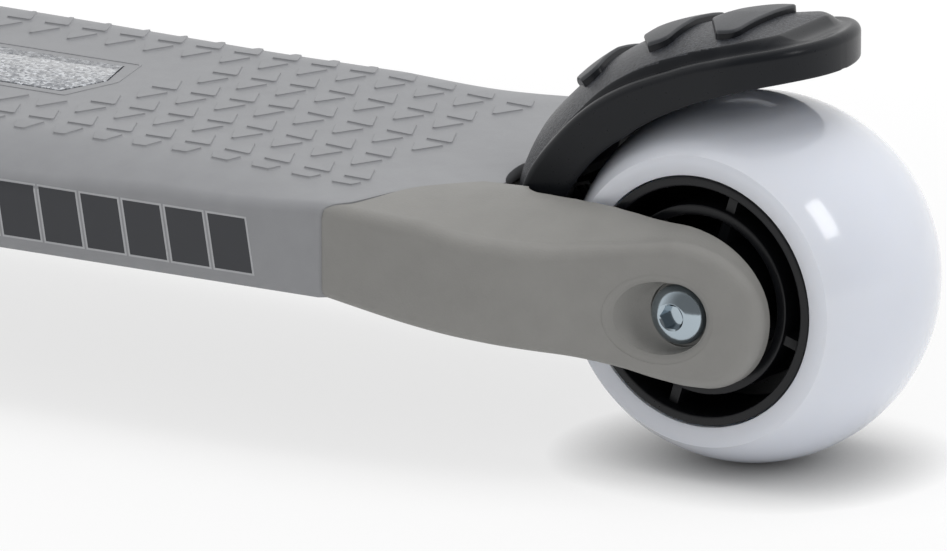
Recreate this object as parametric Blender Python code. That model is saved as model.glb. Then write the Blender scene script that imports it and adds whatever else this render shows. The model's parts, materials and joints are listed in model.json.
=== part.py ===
"""Three-wheel kick scooter: two front wheels on a lean-to-steer truck and one wide rear wheel in a fork,
with a ribbed moulded chassis under a deck cover, a sprung fender brake and a telescopic T-bar.

Metres, +Z up, +X forward, +Y the rider's left. The floor is Z = 0 and the origin lies under the middle of
the scooter's length. Shapes are written in the frame of the rear axle's foot point, unless said otherwise.
"""

import math

import bmesh
import bpy
import numpy as np
from mathutils import Matrix

# Driving dimensions
WHEELBASE = 0.450
REAR_WHEEL_DIAMETER = 0.080
REAR_WHEEL_WIDTH = 0.049
FRONT_WHEEL_DIAMETER = 0.120
FRONT_WHEEL_WIDTH = 0.024
FRONT_TRACK = 0.204
FRONT_HUB_WIDTH = 0.026
FRONT_HUB_HOLES = 5
FRONT_CORE_SHARE = 0.73
DECK_HEIGHT = 0.0603
DECK_WIDTH = 0.118
DECK_FRONT_SETBACK = 0.098
SKIRT_HEIGHT = 0.0235
HANDLEBAR_HEIGHT = 0.640
HANDLEBAR_WIDTH = 0.250

# Clearances
SEAT_GAP = 0.0003
WHEEL_SIDE_CLEARANCE = 0.002
WHEEL_WELL_CLEARANCE = 0.003
FENDER_SIDE_CLEARANCE = 0.0012
BRAKE_GAP = 0.0042
RUN_OUT = 0.010
TOOL_REACH = 0.060

# Mouldings
COVER_WALL = 0.0028
CHASSIS_WALL = 0.0032
RIB_WALL = 0.0024

# Deck and badge
SEAM_AHEAD_OF_WHEEL = 0.036
SEAM_HALF_WIDTH = 0.054
REAR_DROP = 0.0024
NOSE_DROP = 0.0012
NOTCH_HALF_WIDTH = 0.0174
NOTCH_DEPTH = 0.005
TONGUE_LENGTH = 0.024
DECK_SHOULDER = 0.019
DECK_SHOULDER_DROP = 0.0062
DECK_EDGE_RADIUS = 0.0045
SEAM_EDGE_RADIUS = 0.003
NOSE_HALF_WIDTH = 0.036
BADGE_HALF_WIDTH = 0.0125
BADGE_LENGTH = 0.120
BADGE_POINT = 0.004
BADGE_THICKNESS = 0.0008
BADGE_AHEAD_OF_SEAM = 0.090

# Rear fork
ARM_END_RADIUS = 0.017
ARM_END_SETBACK = 0.0026
ARM_END_RISE = 0.001
ARM_TIP_HALF_WIDTH = 0.0355
RECESS_FLOOR = 0.0038
RECESS_RADIUS = 0.0083
RECESS_FORWARD = 0.0055

# Axle hardware and 608 bearings
AXLE_RADIUS = 0.004
BOLT_HEAD_RADIUS = 0.0065
BOLT_HEAD_HEIGHT = 0.0042
HEX_SOCKET_FLATS = 0.005
SCREW_RADIUS = 0.0026
BEARING_RADIUS = 0.011
BEARING_WIDTH = 0.007
INNER_RING_RADIUS = 0.006
WASHER_RADIUS = 0.0075

# Rear hub
HUB_RIM_RADIUS = 0.0272
HUB_RIM_WALL = 0.0021
HUB_RING_RADIUS = 0.0208
HUB_RING_WALL = 0.0023
HUB_RING_STEP = 0.0017
HUB_RIB_STEP = 0.003
HUB_WEB = 0.010
HUB_RIB_WALL = 0.0022
HUB_RIB_ANGLE = 17.4
TYRE_SHOULDER_RADIUS = 0.031
TYRE_CROWN_SHARE = 0.89
CORE_INSET = 0.0004
BOSS_WALL = 0.0023
BEARING_LIP = 0.0035
SPACER_WALL = 0.0012

# Fender brake
BRAKE_PIN_RADIUS = 0.0025
BRAKE_PIN_AHEAD_OF_WHEEL = 0.0065
BRAKE_PIN_ABOVE_AXLE = 0.011
FENDER_HALF_WIDTH = 0.022
FENDER_WALL = 0.0022
FENDER_SKIRT_BEVEL = 0.0014
FENDER_TAIL_START = 92.0
FENDER_TAIL_ANGLE = 115.5
FENDER_RIB_HALF_WIDTH = 0.0065
FENDER_ROOT_GAP = 0.0033
BRAKE_PAD_LENGTH = 0.020
BRAKE_PAD_THICKNESS = 0.0026
BRAKE_PAD_CHAMFER = 0.0006
BRAKE_PAD_ANGLE = 81.0
BRAKE_PEG_RADIUS = 0.0018
BRAKE_PEG_LENGTH = 0.004
BRAKE_PIN_HELD = 0.009
CLAW_HEIGHT = 0.003
CLAW_HALF_WIDTH = 0.009
CLAW_SPANS = ((45, 61), (63.5, 81), (83.5, 98))
BRAKE_SPRING_HALF_LENGTH = 0.0054
BRAKE_SPRING_WIRE_RADIUS = 0.0007
BRAKE_SPRING_TURNS = 3.5
BRAKE_WELL_DEPTH = 0.0085

# Lean-to-steer truck
LEAN_AXIS_PITCH = 30.0
PIVOT_BARREL_RADIUS = 0.016
PIVOT_BARREL_LENGTH = 0.041
PIVOT_BUSH_RADIUS = 0.0062
PIVOT_BUSH_FLANGE = 0.0013
PIVOT_RADIUS = 0.004
PIVOT_HEX_FLATS = 0.013
PIVOT_HEAD_HEIGHT = 0.0053
PIVOT_NUT_HEIGHT = 0.007
NUT_ROOM = 0.009
NUT_SPOT_FACE = 0.0005
LUG_THICKNESS = 0.0085
SADDLE_HALF_WIDTH = 0.018
SADDLE_TOP = 0.028
WING_THICKNESS = 0.006
WING_REACH = 0.035
SPRING_OFFSET = 0.026
SPRING_RADIUS = 0.0058
SPRING_WIRE_RADIUS = 0.0007
SPRING_TURNS = 4
SPRING_ROOM_RADIUS = 0.0088
SPRING_POST_RADIUS = 0.0042
SPRING_SEAT_DEPTH = 0.0008
BEAM_HALF_DEPTH = 0.0125
BEAM_HALF_HEIGHT = 0.0105
BEAM_END_GAP = 0.004
AXLE_SOCKET_DEPTH = 0.026
AXLE_IN_BEAM = 0.024
SPRING_SEAT_RISE = 0.0012
SPRING_SEAT_MARGIN = 0.0018
SPRING_POST_HEIGHT = 0.0035
PIVOT_BUSH_INNER_END = 0.004
PIVOT_FLANGE_SHARE = 0.7

# Front wheels
FRONT_CROWN_SHARE = 0.62
FRONT_WALL_SHARE = 0.55
FRONT_RIM_SHARE = 0.86
FRONT_RIM_WALL = 0.004
FRONT_WEB_HALF = 0.003
FRONT_BOSS_WALL = 0.003
FRONT_BOSS_FOOT = 0.006
FRONT_SPOKE_MARGIN = 0.0018

# Neck between the chassis and the steering head
TONGUE_HALF_WIDTH = 0.024
NECK_LENGTH = 0.052
NECK_OVERLAP = 0.030
NECK_HEIGHT = 0.015
SLEEVE_WALL = 0.005
SLEEVE_FRONT_SETBACK = 0.012
WING_TIP_RADIUS = 0.012

# Stem and handlebar
STEM_TILT = 9.0
STEM_RADIUS = 0.019
STEM_WALL = 0.0015
STEM_FOOT = 0.002
STEM_TUBE_LENGTH = 0.336
SOCKET_HEIGHT = 0.062
SOCKET_WALL = 0.0055
SOCKET_SKIRT = 0.012
SOCKET_FLARE = 0.003
UPPER_TUBE_RADIUS = 0.0160
UPPER_TUBE_OVERLAP = 0.165
GUIDE_BUSH_LENGTH = 0.024
GUIDE_BUSH_RIM = 0.0022
GUIDE_BUSH_SLIT = 0.002
BAR_RADIUS = 0.011
BAR_WALL = 0.0018
GRIP_RADIUS = 0.0155
TEE_HALF_LENGTH = 0.024
TEE_WALL = 0.002
GRIP_BESIDE_TEE = 0.003
GRIP_COLLAR_WIDTH = 0.004
GRIP_END_WALL = 0.005
COLLAR_WALL = 0.0045
COLLAR_HEIGHT = 0.027
COLLAR_SLIT = 0.003
CLAMP_EAR_THICKNESS = 0.0065
CLAMP_EAR_REACH = 0.015
CLAMP_BOLT_RADIUS = 0.0025
LEVER_THICKNESS = 0.0055
LEVER_HUB_RADIUS = 0.0062
LEVER_HEIGHT = 0.018
LEVER_CLEARANCE = 0.003
LEVER_END_ANGLE = 124.0
LEVER_FLICK = 0.0065
CROSS_BOLT_RADIUS = 0.003
CROSS_HEAD_RADIUS = 0.0055
CROSS_HEAD_HEIGHT = 0.0033
CROSS_NUT_FLATS = 0.010
CROSS_NUT_HEIGHT = 0.005
CLAMP_NUT_FLATS = 0.0085
CLAMP_NUT_HEIGHT = 0.0045
CLAMP_BARREL_MARGIN = 0.0005
EAR_INSET = 0.004
EAR_HOLE_SETBACK = 0.006

# Worked out from the driving dimensions
rear_r = REAR_WHEEL_DIAMETER / 2
front_r = FRONT_WHEEL_DIAMETER / 2
rear_axle_x = -(WHEELBASE + front_r - rear_r) / 2
fork_inner = REAR_WHEEL_WIDTH / 2 + WHEEL_SIDE_CLEARANCE
seam_x = rear_r + SEAM_AHEAD_OF_WHEEL
deck_front_x = WHEELBASE - DECK_FRONT_SETBACK
skirt_bottom = DECK_HEIGHT - SKIRT_HEIGHT
pin_x = rear_r + BRAKE_PIN_AHEAD_OF_WHEEL
pin_z = rear_r + BRAKE_PIN_ABOVE_AXLE
lug_inner = PIVOT_BARREL_LENGTH / 2 + PIVOT_BUSH_FLANGE + 2 * SEAT_GAP


def smooth_curve(knots, at):
    """Value at one place on a smooth curve through (place, value) knots, which never overshoots them."""
    places, values = (np.array(column, float) for column in zip(*knots))
    at = min(max(at, places[0]), places[-1])
    chords = np.diff(values) / np.diff(places)
    slopes = np.concatenate([chords[:1], np.zeros(len(chords) - 1), chords[-1:]])
    for i in range(1, len(chords)):
        if chords[i - 1] * chords[i] > 0:
            slopes[i] = 2 / (1 / chords[i - 1] + 1 / chords[i])
    i = min(int(np.searchsorted(places, at, side="right")) - 1, len(chords) - 1)
    step = places[i + 1] - places[i]
    t = (at - places[i]) / step
    return (
        values[i] * (1 + 2 * t) * (1 - t) ** 2
        + values[i + 1] * t * t * (3 - 2 * t)
        + step * (slopes[i] * t * (1 - t) ** 2 - slopes[i + 1] * t * t * (1 - t))
    )


def finish_material(name, colour, roughness, metallic=0.0):
    """A plain Principled finish; the colour is linear red, green and blue."""
    made = bpy.data.materials.new(name)
    made.use_nodes = True
    shader = made.node_tree.nodes["Principled BSDF"]
    shader.inputs["Base Color"].default_value = (*colour, 1.0)
    shader.inputs["Roughness"].default_value = roughness
    shader.inputs["Metallic"].default_value = metallic
    made.diffuse_color = (*colour, 1.0)
    return made


def mesh_of(name, points, faces):
    """A closed mesh with doubled points merged and every face pointing out."""
    mesh = bpy.data.meshes.new(name)
    mesh.from_pydata([tuple(map(float, p)) for p in points], [], faces)
    work = bmesh.new()
    work.from_mesh(mesh)
    bmesh.ops.remove_doubles(work, verts=work.verts, dist=1e-6)
    bmesh.ops.delete(work, geom=[e for e in work.edges if e.is_wire], context="EDGES")
    bmesh.ops.recalc_face_normals(work, faces=work.faces)
    work.to_mesh(mesh)
    work.free()
    mesh.shade_smooth()
    mesh.set_sharp_from_angle(angle=math.radians(35))
    return mesh


def turned(name, profile, segments):
    """A ring turned about Z from a closed outline of (radius, height) points; radius 0 makes a pole."""
    angles = np.arange(segments) * 2 * math.pi / segments
    points = [(r * math.cos(a), r * math.sin(a), z) for a in angles for r, z in profile]
    count = len(profile)
    faces = [
        (
            i * count + j,
            i * count + (j + 1) % count,
            (i + 1) % segments * count + (j + 1) % count,
            (i + 1) % segments * count + j,
        )
        for i in range(segments)
        for j in range(count)
    ]
    return mesh_of(name, points, faces)


def tube(name, inner, outer, low, high, segments):
    """A plain round tube along Z."""
    return turned(name, [(inner, low), (outer, low), (outer, high), (inner, high)], segments)


def lofted(name, rings):
    """A solid skinned over rings of equally many points, with a flat cap at each end."""
    count = len(rings[0])
    points = [p for ring in rings for p in ring]
    faces = [
        (i * count + j, i * count + (j + 1) % count, (i + 1) * count + (j + 1) % count, (i + 1) * count + j)
        for i in range(len(rings) - 1)
        for j in range(count)
    ]
    faces.append(tuple(range(count)))
    faces.append(tuple(range((len(rings) - 1) * count, len(rings) * count)))
    return mesh_of(name, points, faces)


def shell(name, outer_rows, inner_rows):
    """A wall between two open surfaces given as equal rows of points, closed along all four edges."""
    rows, count = len(outer_rows), len(outer_rows[0])
    points = [p for row in outer_rows for p in row] + [p for row in inner_rows for p in row]
    far = rows * count
    faces = []
    for i in range(rows - 1):
        for j in range(count - 1):
            a, b = i * count + j, (i + 1) * count + j
            faces.append((a, a + 1, b + 1, b))
            faces.append((far + a, far + b, far + b + 1, far + a + 1))
        for j in (0, count - 1):
            a, b = i * count + j, (i + 1) * count + j
            faces.append((a, b, far + b, far + a))
    for i in (0, rows - 1):
        for j in range(count - 1):
            a = i * count + j
            faces.append((a, a + 1, far + a + 1, far + a))
    return mesh_of(name, points, faces)


def prism(name, outline, low, high, axis="Z"):
    """A flat outline given thickness along Z, or along Y where it holds (x, z) points."""
    if axis == "Z":
        rings = [[(x, y, z) for x, y in outline] for z in (low, high)]
    else:
        rings = [[(x, y, z) for x, z in outline] for y in (low, high)]
    return lofted(name, rings)


def rod(name, radius, low, high, segments):
    """A plain round rod along Z."""
    turns = np.arange(segments) * 2 * math.pi / segments
    return prism(name, [(radius * math.cos(t), radius * math.sin(t)) for t in turns], low, high)


def box(name, low, high):
    """A block between two corners."""
    outline = [(low[0], low[1]), (high[0], low[1]), (high[0], high[1]), (low[0], high[1])]
    return prism(name, outline, low[2], high[2])


def gathered(name, meshes):
    """Several meshes as one, for a tool that works in many places at once."""
    work = bmesh.new()
    for mesh in meshes:
        work.from_mesh(mesh)
    joined = bpy.data.meshes.new(name)
    work.to_mesh(joined)
    work.free()
    return joined


def arc(centre, radius, start, end, steps):
    """Points of a circular arc in a plane, its angles in degrees."""
    angles = np.radians(np.linspace(start, end, steps))
    return [(centre[0] + radius * math.cos(a), centre[1] + radius * math.sin(a)) for a in angles]


def frame_at(name, parent=None, location=(0, 0, 0), turn=(0, 0, 0)):
    """An empty that carries pieces; its turns are in degrees."""
    made = bpy.data.objects.new(name, None)
    bpy.context.collection.objects.link(made)
    made.parent = parent
    made.location = location
    made.rotation_euler = [math.radians(t) for t in turn]
    made.empty_display_size = 0.02
    return made


def piece(name, mesh, finish, parent, location=(0, 0, 0), turn=(0, 0, 0)):
    """One physical piece on its carrier."""
    made = bpy.data.objects.new(name, mesh)
    bpy.context.collection.objects.link(made)
    made.parent = parent
    made.location = location
    made.rotation_euler = [math.radians(t) for t in turn]
    if not mesh.materials:
        mesh.materials.append(finish)
    return made


def shaped(target, operation, name, mesh, location, turn, carrier):
    """Cuts a tool away from a piece, or joins it on; the tool lies in its carrier's frame."""
    tool = bpy.data.objects.new(name, mesh)
    bpy.context.collection.objects.link(tool)
    tool.parent = carrier or target.parent
    tool.location = location
    tool.rotation_euler = [math.radians(t) for t in turn]
    tool.hide_render = True
    tool.display_type = "WIRE"
    change = target.modifiers.new(name, "BOOLEAN")
    change.operation = operation
    change.object = tool
    change.solver = "EXACT"


def cut(target, name, mesh, location=(0, 0, 0), turn=(0, 0, 0), carrier=None):
    shaped(target, "DIFFERENCE", name, mesh, location, turn, carrier)


def join(target, name, mesh, location=(0, 0, 0), turn=(0, 0, 0), carrier=None):
    shaped(target, "UNION", name, mesh, location, turn, carrier)


ALONG_Y = (-90, 0, 0)


def deck_half_width(x):
    """Half of the deck's width: widest ahead of the middle, drawn in at the seam and to the nose."""
    u = (x - seam_x) / (deck_front_x - seam_x)
    wide = smooth_curve([(0, 0), (0.25, 0.4), (0.6, 1), (0.8, 0.9), (0.9, 0.45), (1, 0)], u)
    base = SEAM_HALF_WIDTH if u < 0.6 else NOSE_HALF_WIDTH
    return base + (DECK_WIDTH / 2 - base) * wide


def deck_top(x):
    """Height of the deck's middle, which falls a little towards the rear wheel."""
    u = (x - seam_x) / (deck_front_x - seam_x)
    nose = NOSE_DROP * smooth_curve([(0.93, 0), (0.97, 0.3), (1, 1)], u)
    return DECK_HEIGHT - REAR_DROP * smooth_curve([(-0.1, 1), (0, 0.85), (0.15, 0)], u) - nose


def shoulder_drop(x):
    """How far the deck's top falls to its side edges: hardly at the seam, more further forward."""
    u = (x - seam_x) / (deck_front_x - seam_x)
    knots = [(0, 0.1), (0.1, 0.55), (0.19, 0.75), (0.29, 1), (0.8, 1), (1, 0.2)]
    return DECK_SHOULDER_DROP * smooth_curve(knots, u)


def deck_edge_radius(x):
    """The deck's soft upper edge tightens towards the seam with the fork."""
    u = (x - seam_x) / (deck_front_x - seam_x)
    return smooth_curve([(0, SEAM_EDGE_RADIUS), (0.3, DECK_EDGE_RADIUS), (1, DECK_EDGE_RADIUS)], u)


def seam_line(y):
    """How far behind the seam's side corner the cover's rear edge lies, at a distance from the middle."""
    across = abs(y)
    notch = NOTCH_HALF_WIDTH
    side = SEAM_HALF_WIDTH
    if across <= notch:
        hollow = [(0, 1), (0.6, 1), (0.85, 0.75), (1, 0)]
        return TONGUE_LENGTH - NOTCH_DEPTH * smooth_curve(hollow, across / notch)
    u = (across - notch) / (side - notch)
    sweep = [(0, 1), (0.2, 0.7), (0.45, 0.43), (0.75, 0.28), (0.88, 0.2), (1, 0)]
    return TONGUE_LENGTH * smooth_curve(sweep, u)


def section_edge(side, top, drop, radius):
    """The deck's half section beyond its flat: a falling shoulder, then the rounded edge down to the side."""
    shoulder = min(DECK_SHOULDER, (side - NOTCH_HALF_WIDTH) * 0.8)
    slope = 2 * drop / (shoulder - radius * 0.3)
    begin = 90 - math.degrees(math.atan(slope))
    reach = side - radius * (1 - math.cos(math.radians(begin)))
    flat = side - shoulder
    points = [(flat + (reach - flat) * t, top - drop * t * t) for t in (0, 0.33, 0.67)]
    centre = (side - radius, top - drop - radius * math.sin(math.radians(begin)))
    return points + arc(centre, radius, begin, 0, 4)


def deck_row(x, inset, bottom, at_seam=False):
    """Half of the deck's section at x, from the middle of the top to the skirt's lower edge.
    An inset draws it in square to its faces. A row at the seam follows the cover's rear edge."""
    side = deck_half_width(x) - inset
    top = deck_top(x) - inset
    radius = max(deck_edge_radius(x) - inset, 0.0006)
    notch = NOTCH_HALF_WIDTH
    row = [(notch * f, top) for f in (0, 0.55, 0.85, 1.0)]
    edge = section_edge(side, top, shoulder_drop(x), radius)
    row += [(notch + (edge[0][0] - notch) * t, top) for t in (0.25, 0.6)]
    row += [*edge, (side, bottom)]
    if not at_seam:
        return [(x, y, z) for y, z in row]
    stretch = (SEAM_HALF_WIDTH - notch) / (side - notch)
    spread = [y if y <= notch else notch + (y - notch) * stretch for y, z in row]
    lowest = deck_top(x) - COVER_WALL - shoulder_drop(x) + 0.0001
    return [(x - (seam_line(wide) if z > lowest else 0), y, z) for wide, (y, z) in zip(spread, row)]


def mirrored(half):
    """A full row from its left half, without doubling the middle point."""
    return [(x, -y, z) for x, y, z in reversed(half[1:])] + half


DECK_STATIONS = (0.01, 0.06, 0.15, 0.3, 0.45, 0.6, 0.7, 0.8, 0.87, 0.93, 1)


def build_deck(carrier, finishes):
    """The cover with its skirts and rear tongue, and the panel let into its top."""
    stations = [seam_x + (deck_front_x - seam_x) * u for u in DECK_STATIONS]
    outer = [mirrored(deck_row(seam_x, 0, skirt_bottom, True))]
    inner = [mirrored(deck_row(seam_x, COVER_WALL, skirt_bottom, True))]
    for x in stations:
        outer.append(mirrored(deck_row(x, 0, skirt_bottom)))
        inner.append(mirrored(deck_row(x, COVER_WALL, skirt_bottom)))
    cover = piece("deck_cover", shell("deck_cover", outer, inner), finishes["cover"], carrier)

    badge_rear = seam_x + BADGE_AHEAD_OF_SEAM

    def badge_outline(grow):
        half = BADGE_HALF_WIDTH + grow
        rear = badge_rear - grow
        front = badge_rear + BADGE_LENGTH + grow
        return [
            (rear, 0),
            (rear + BADGE_POINT, -half),
            (front - BADGE_POINT, -half),
            (front, 0),
            (front - BADGE_POINT, half),
            (rear + BADGE_POINT, half),
        ]

    recess_floor = DECK_HEIGHT - BADGE_THICKNESS - SEAT_GAP
    recess = prism("badge_recess", badge_outline(SEAT_GAP), recess_floor, DECK_HEIGHT + COVER_WALL)
    cut(cover, "badge_recess", recess)
    badge = prism("deck_badge", badge_outline(0), recess_floor + SEAT_GAP, DECK_HEIGHT)
    piece("deck_badge", badge, finishes["glitter"], carrier)


FORK_WIDENING = (
    (-0.2, 0),
    (0, 0.07),
    (0.17, 0.28),
    (0.3, 0.45),
    (0.42, 0.64),
    (0.54, 0.8),
    (0.66, 0.9),
    (0.8, 0.96),
    (1, 1),
)


def fork_half_width(u):
    """Half of the fork's width, from its tip at u = 0 to the seam at u = 1."""
    return ARM_TIP_HALF_WIDTH + (SEAM_HALF_WIDTH - ARM_TIP_HALF_WIDTH) * smooth_curve(FORK_WIDENING, u)


def fork_section(x):
    """The fork's section at x: flat in the middle, a sloping shoulder, a ridge, and an upright side."""
    centre_x, centre_z = -ARM_END_SETBACK, rear_r + ARM_END_RISE
    u = (x - centre_x) / (seam_x - centre_x)
    side = fork_half_width(u)
    bottom_rise = [(0, 0), (0.09, 0.12), (0.22, 0.29), (0.34, 0.43), (0.52, 0.54), (0.71, 0.7), (1, 1)]
    bottom = centre_z - ARM_END_RADIUS
    bottom += (skirt_bottom - bottom) * smooth_curve(bottom_rise, u)
    top = centre_z + ARM_END_RADIUS
    top += (deck_top(seam_x) - top) * smooth_curve([(0, 0), (1, 1)], u)
    top += 0.0012 * smooth_curve([(0, 0), (0.35, 1), (0.7, 0.3), (1, 0)], u)
    if x < centre_x:
        reach = math.sqrt(max(1 - ((centre_x - x) / ARM_END_RADIUS) ** 2, 0.0016))
        bottom, top = (centre_z + (z - centre_z) * reach for z in (bottom, top))
    tall = top - bottom
    fall = smooth_curve([(0, 0.0035), (0.17, 0.0055), (0.33, 0.0065), (0.49, 0.0055), (0.68, 0.003)], u)
    fall += (shoulder_drop(seam_x) - fall) * smooth_curve([(0.6, 0), (1, 1)], u)
    fall = min(fall, tall * 0.35)
    flat = side * smooth_curve([(0, 0.8), (0.17, 0.7), (0.33, 0.58), (0.68, 0.5)], u)
    flat += (side - DECK_SHOULDER - flat) * smooth_curve([(0.6, 0), (1, 1)], u)
    ridge = min(SEAM_EDGE_RADIUS, tall * 0.25)
    round_low = min(0.0022, tall * 0.25)
    half = [
        (0, top),
        (flat, top),
        (flat + (side - ridge - flat) * 0.5, top - fall * 0.4),
        (side - ridge, top - fall),
        (side - ridge * 0.3, top - fall - ridge * 0.3),
        (side, top - fall - ridge),
        (side, bottom + round_low),
        (side - round_low * 0.3, bottom + round_low * 0.3),
        (side - round_low, bottom),
        (0, bottom),
    ]
    full = half + [(-y, z) for y, z in reversed(half[1:-1])]
    return [(x, y, z) for y, z in full]


def fork_stations():
    """Places along the fork: close together round the arms' ends, then spread to the seam."""
    tip = [-ARM_END_SETBACK - ARM_END_RADIUS * math.sin(math.radians(a)) for a in (88, 72, 55, 38, 20, 0)]
    front = seam_x - SEAT_GAP
    return tip + [tip[-1] + (front - tip[-1]) * u for u in (0.12, 0.24, 0.36, 0.48, 0.6, 0.75, 1)]


def rib_cells(front_x):
    """Pockets that leave ribs under the chassis, three across, as one tool of separate blocks."""
    rear = seam_x - TONGUE_LENGTH + NOTCH_DEPTH + CHASSIS_WALL
    columns = 9
    pitch = (front_x - rear) / columns
    lengthwise = DECK_WIDTH / 2 * 0.3
    cells = []
    for i in range(columns):
        x0, x1 = rear + i * pitch + RIB_WALL / 2, rear + (i + 1) * pitch - RIB_WALL / 2
        roof = min(deck_top(x0), deck_top(x1)) - COVER_WALL - SEAT_GAP - CHASSIS_WALL
        low = skirt_bottom - 0.002
        half = lengthwise - RIB_WALL / 2
        cells.append(box("cell", (x0, -half, low), (x1, half, roof)))
        wall = COVER_WALL + SEAT_GAP + CHASSIS_WALL
        side0, side1 = deck_half_width(x0) - wall, deck_half_width(x1) - wall
        side_roof = roof - DECK_SHOULDER_DROP * 0.5
        for sign in (-1, 1):
            inner = sign * (lengthwise + RIB_WALL / 2)
            outline = [(x0, inner), (x1, inner), (x1, sign * side1), (x0, sign * side0)]
            cells.append(prism("cell", outline, low, side_roof))
    return gathered("rib_cells", cells)


RECESS_RINGS = ((0, 0, 0), (0.0028, 0.0007, 0.12), (0.006, 0.0016, 0.6), (0.016, 0.004, 1.6))


def arm_recess():
    """A dished pocket round an axle head, about Z: round at its floor, drawn forwards at its mouth.
    Its rings are given by depth, growth and share of the forward reach."""
    floor = fork_inner + RECESS_FLOOR
    rings = []
    for depth, grow, forward in RECESS_RINGS:
        radius = RECESS_RADIUS + grow
        ring = []
        for a in np.radians(np.arange(0, 360, 20)):
            stretch = RECESS_FORWARD * forward * max(math.cos(a), 0)
            ring.append((radius * math.cos(a) + stretch, radius * math.sin(a), floor + depth))
        rings.append(ring)
    return rings


def build_chassis(carrier, finishes):
    """The structural moulding: rear fork, ribbed tray under the cover, and the tongue for the head."""
    fork = lofted("chassis", [fork_section(x) for x in fork_stations()])
    chassis = piece("chassis", fork, finishes["frame"], carrier)

    under = COVER_WALL + SEAT_GAP
    tray_front = deck_front_x
    tray_low = skirt_bottom + 0.0004
    rings = [mirrored([(x - 0.010, y, z) for x, y, z in deck_row(seam_x, under, tray_low)])]
    for u in DECK_STATIONS:
        rings.append(mirrored(deck_row(seam_x + (tray_front - seam_x) * u, under, tray_low)))
    join(chassis, "tray", lofted("tray", rings))

    seam = mirrored(deck_row(seam_x, 0, skirt_bottom, True))[1:-1]
    recess = [(x - SEAT_GAP, y) for x, y, _ in seam]
    recess += [(seam_x + 0.0005, SEAM_HALF_WIDTH + 0.004), (seam_x + 0.0005, -SEAM_HALF_WIDTH - 0.004)]
    recess_floor = deck_top(seam_x) - under - shoulder_drop(seam_x)
    cut(chassis, "tongue_recess", prism("tongue_recess", recess, recess_floor, DECK_HEIGHT + 0.01))

    neck_end = tray_front + NECK_LENGTH
    neck_low = skirt_bottom + 0.003
    tongue = [(tray_front - 0.02, NOSE_HALF_WIDTH - 0.006), (tray_front + 0.006, NOSE_HALF_WIDTH - 0.008)]
    tongue += [(neck_end - NECK_OVERLAP - 0.002, TONGUE_HALF_WIDTH), (neck_end, TONGUE_HALF_WIDTH)]
    outline = [(x, -y) for x, y in tongue] + [(x, y) for x, y in reversed(tongue)]
    join(chassis, "neck", prism("neck", outline, neck_low, neck_low + NECK_HEIGHT))

    cut(chassis, "rib_pockets", rib_cells(tray_front - CHASSIS_WALL))

    well = rear_r + WHEEL_WELL_CLEARANCE
    slot = [(-rear_r, -fork_inner), (well - 0.006, -fork_inner), (well, -fork_inner + 0.006)]
    slot += [(x, -y) for x, y in reversed(slot)]
    cut(chassis, "wheel_slot", prism("wheel_slot", slot, 0, rear_r * 2))

    brake_half = FENDER_HALF_WIDTH + FENDER_SIDE_CLEARANCE
    brake_front = seam_x - TONGUE_LENGTH + NOTCH_DEPTH
    low_corner = (well - 2 * RUN_OUT, -brake_half, pin_z - BRAKE_WELL_DEPTH)
    cut(chassis, "brake_well", box("brake_well", low_corner, (brake_front, brake_half, rear_r * 2)))
    hole_half = FENDER_HALF_WIDTH + BRAKE_PIN_HELD + SEAT_GAP
    pin_hole = rod("pin_hole", BRAKE_PIN_RADIUS + SEAT_GAP, -hole_half, hole_half, 16)
    cut(chassis, "pin_hole", pin_hole, (pin_x, 0, pin_z), ALONG_Y)

    axle_hole = rod("axle_hole", AXLE_RADIUS + SEAT_GAP, -TOOL_REACH, TOOL_REACH, 20)
    cut(chassis, "axle_hole", axle_hole, (0, 0, rear_r), ALONG_Y)
    rings = arm_recess()
    right = lofted("recess_right", [[(x, -z, y) for x, y, z in ring] for ring in rings])
    left = lofted("recess_left", [[(x, z, y) for x, y, z in ring] for ring in rings])
    cut(chassis, "axle_recesses", gathered("axle_recesses", [left, right]), (0, 0, rear_r))
    return neck_end, neck_low


def hex_rod(name, across_flats, low, high):
    """A six-sided rod along Z."""
    return rod(name, across_flats / math.sqrt(3), low, high, 6)


def button_head(radius, height, low):
    """Outline of a button head that stands on its shank's end, as (radius, height) points."""
    turns = [math.radians(a) for a in (0, 30, 55)]
    crown = [(radius * math.cos(a), low + height * (0.25 + 0.75 * math.sin(a))) for a in turns]
    return [(radius, low), *crown, (radius * 0.42, low + height), (0, low + height)]


def hex_socket(name, seat, sign=1):
    """The tool for the hexagon socket of a button head that stands on its seat, upwards or downwards."""
    low, high = sorted((sign * (seat + BOLT_HEAD_HEIGHT * 0.42), sign * (seat + BOLT_HEAD_HEIGHT * 2)))
    return hex_rod(name, HEX_SOCKET_FLATS, low, high)


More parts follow.
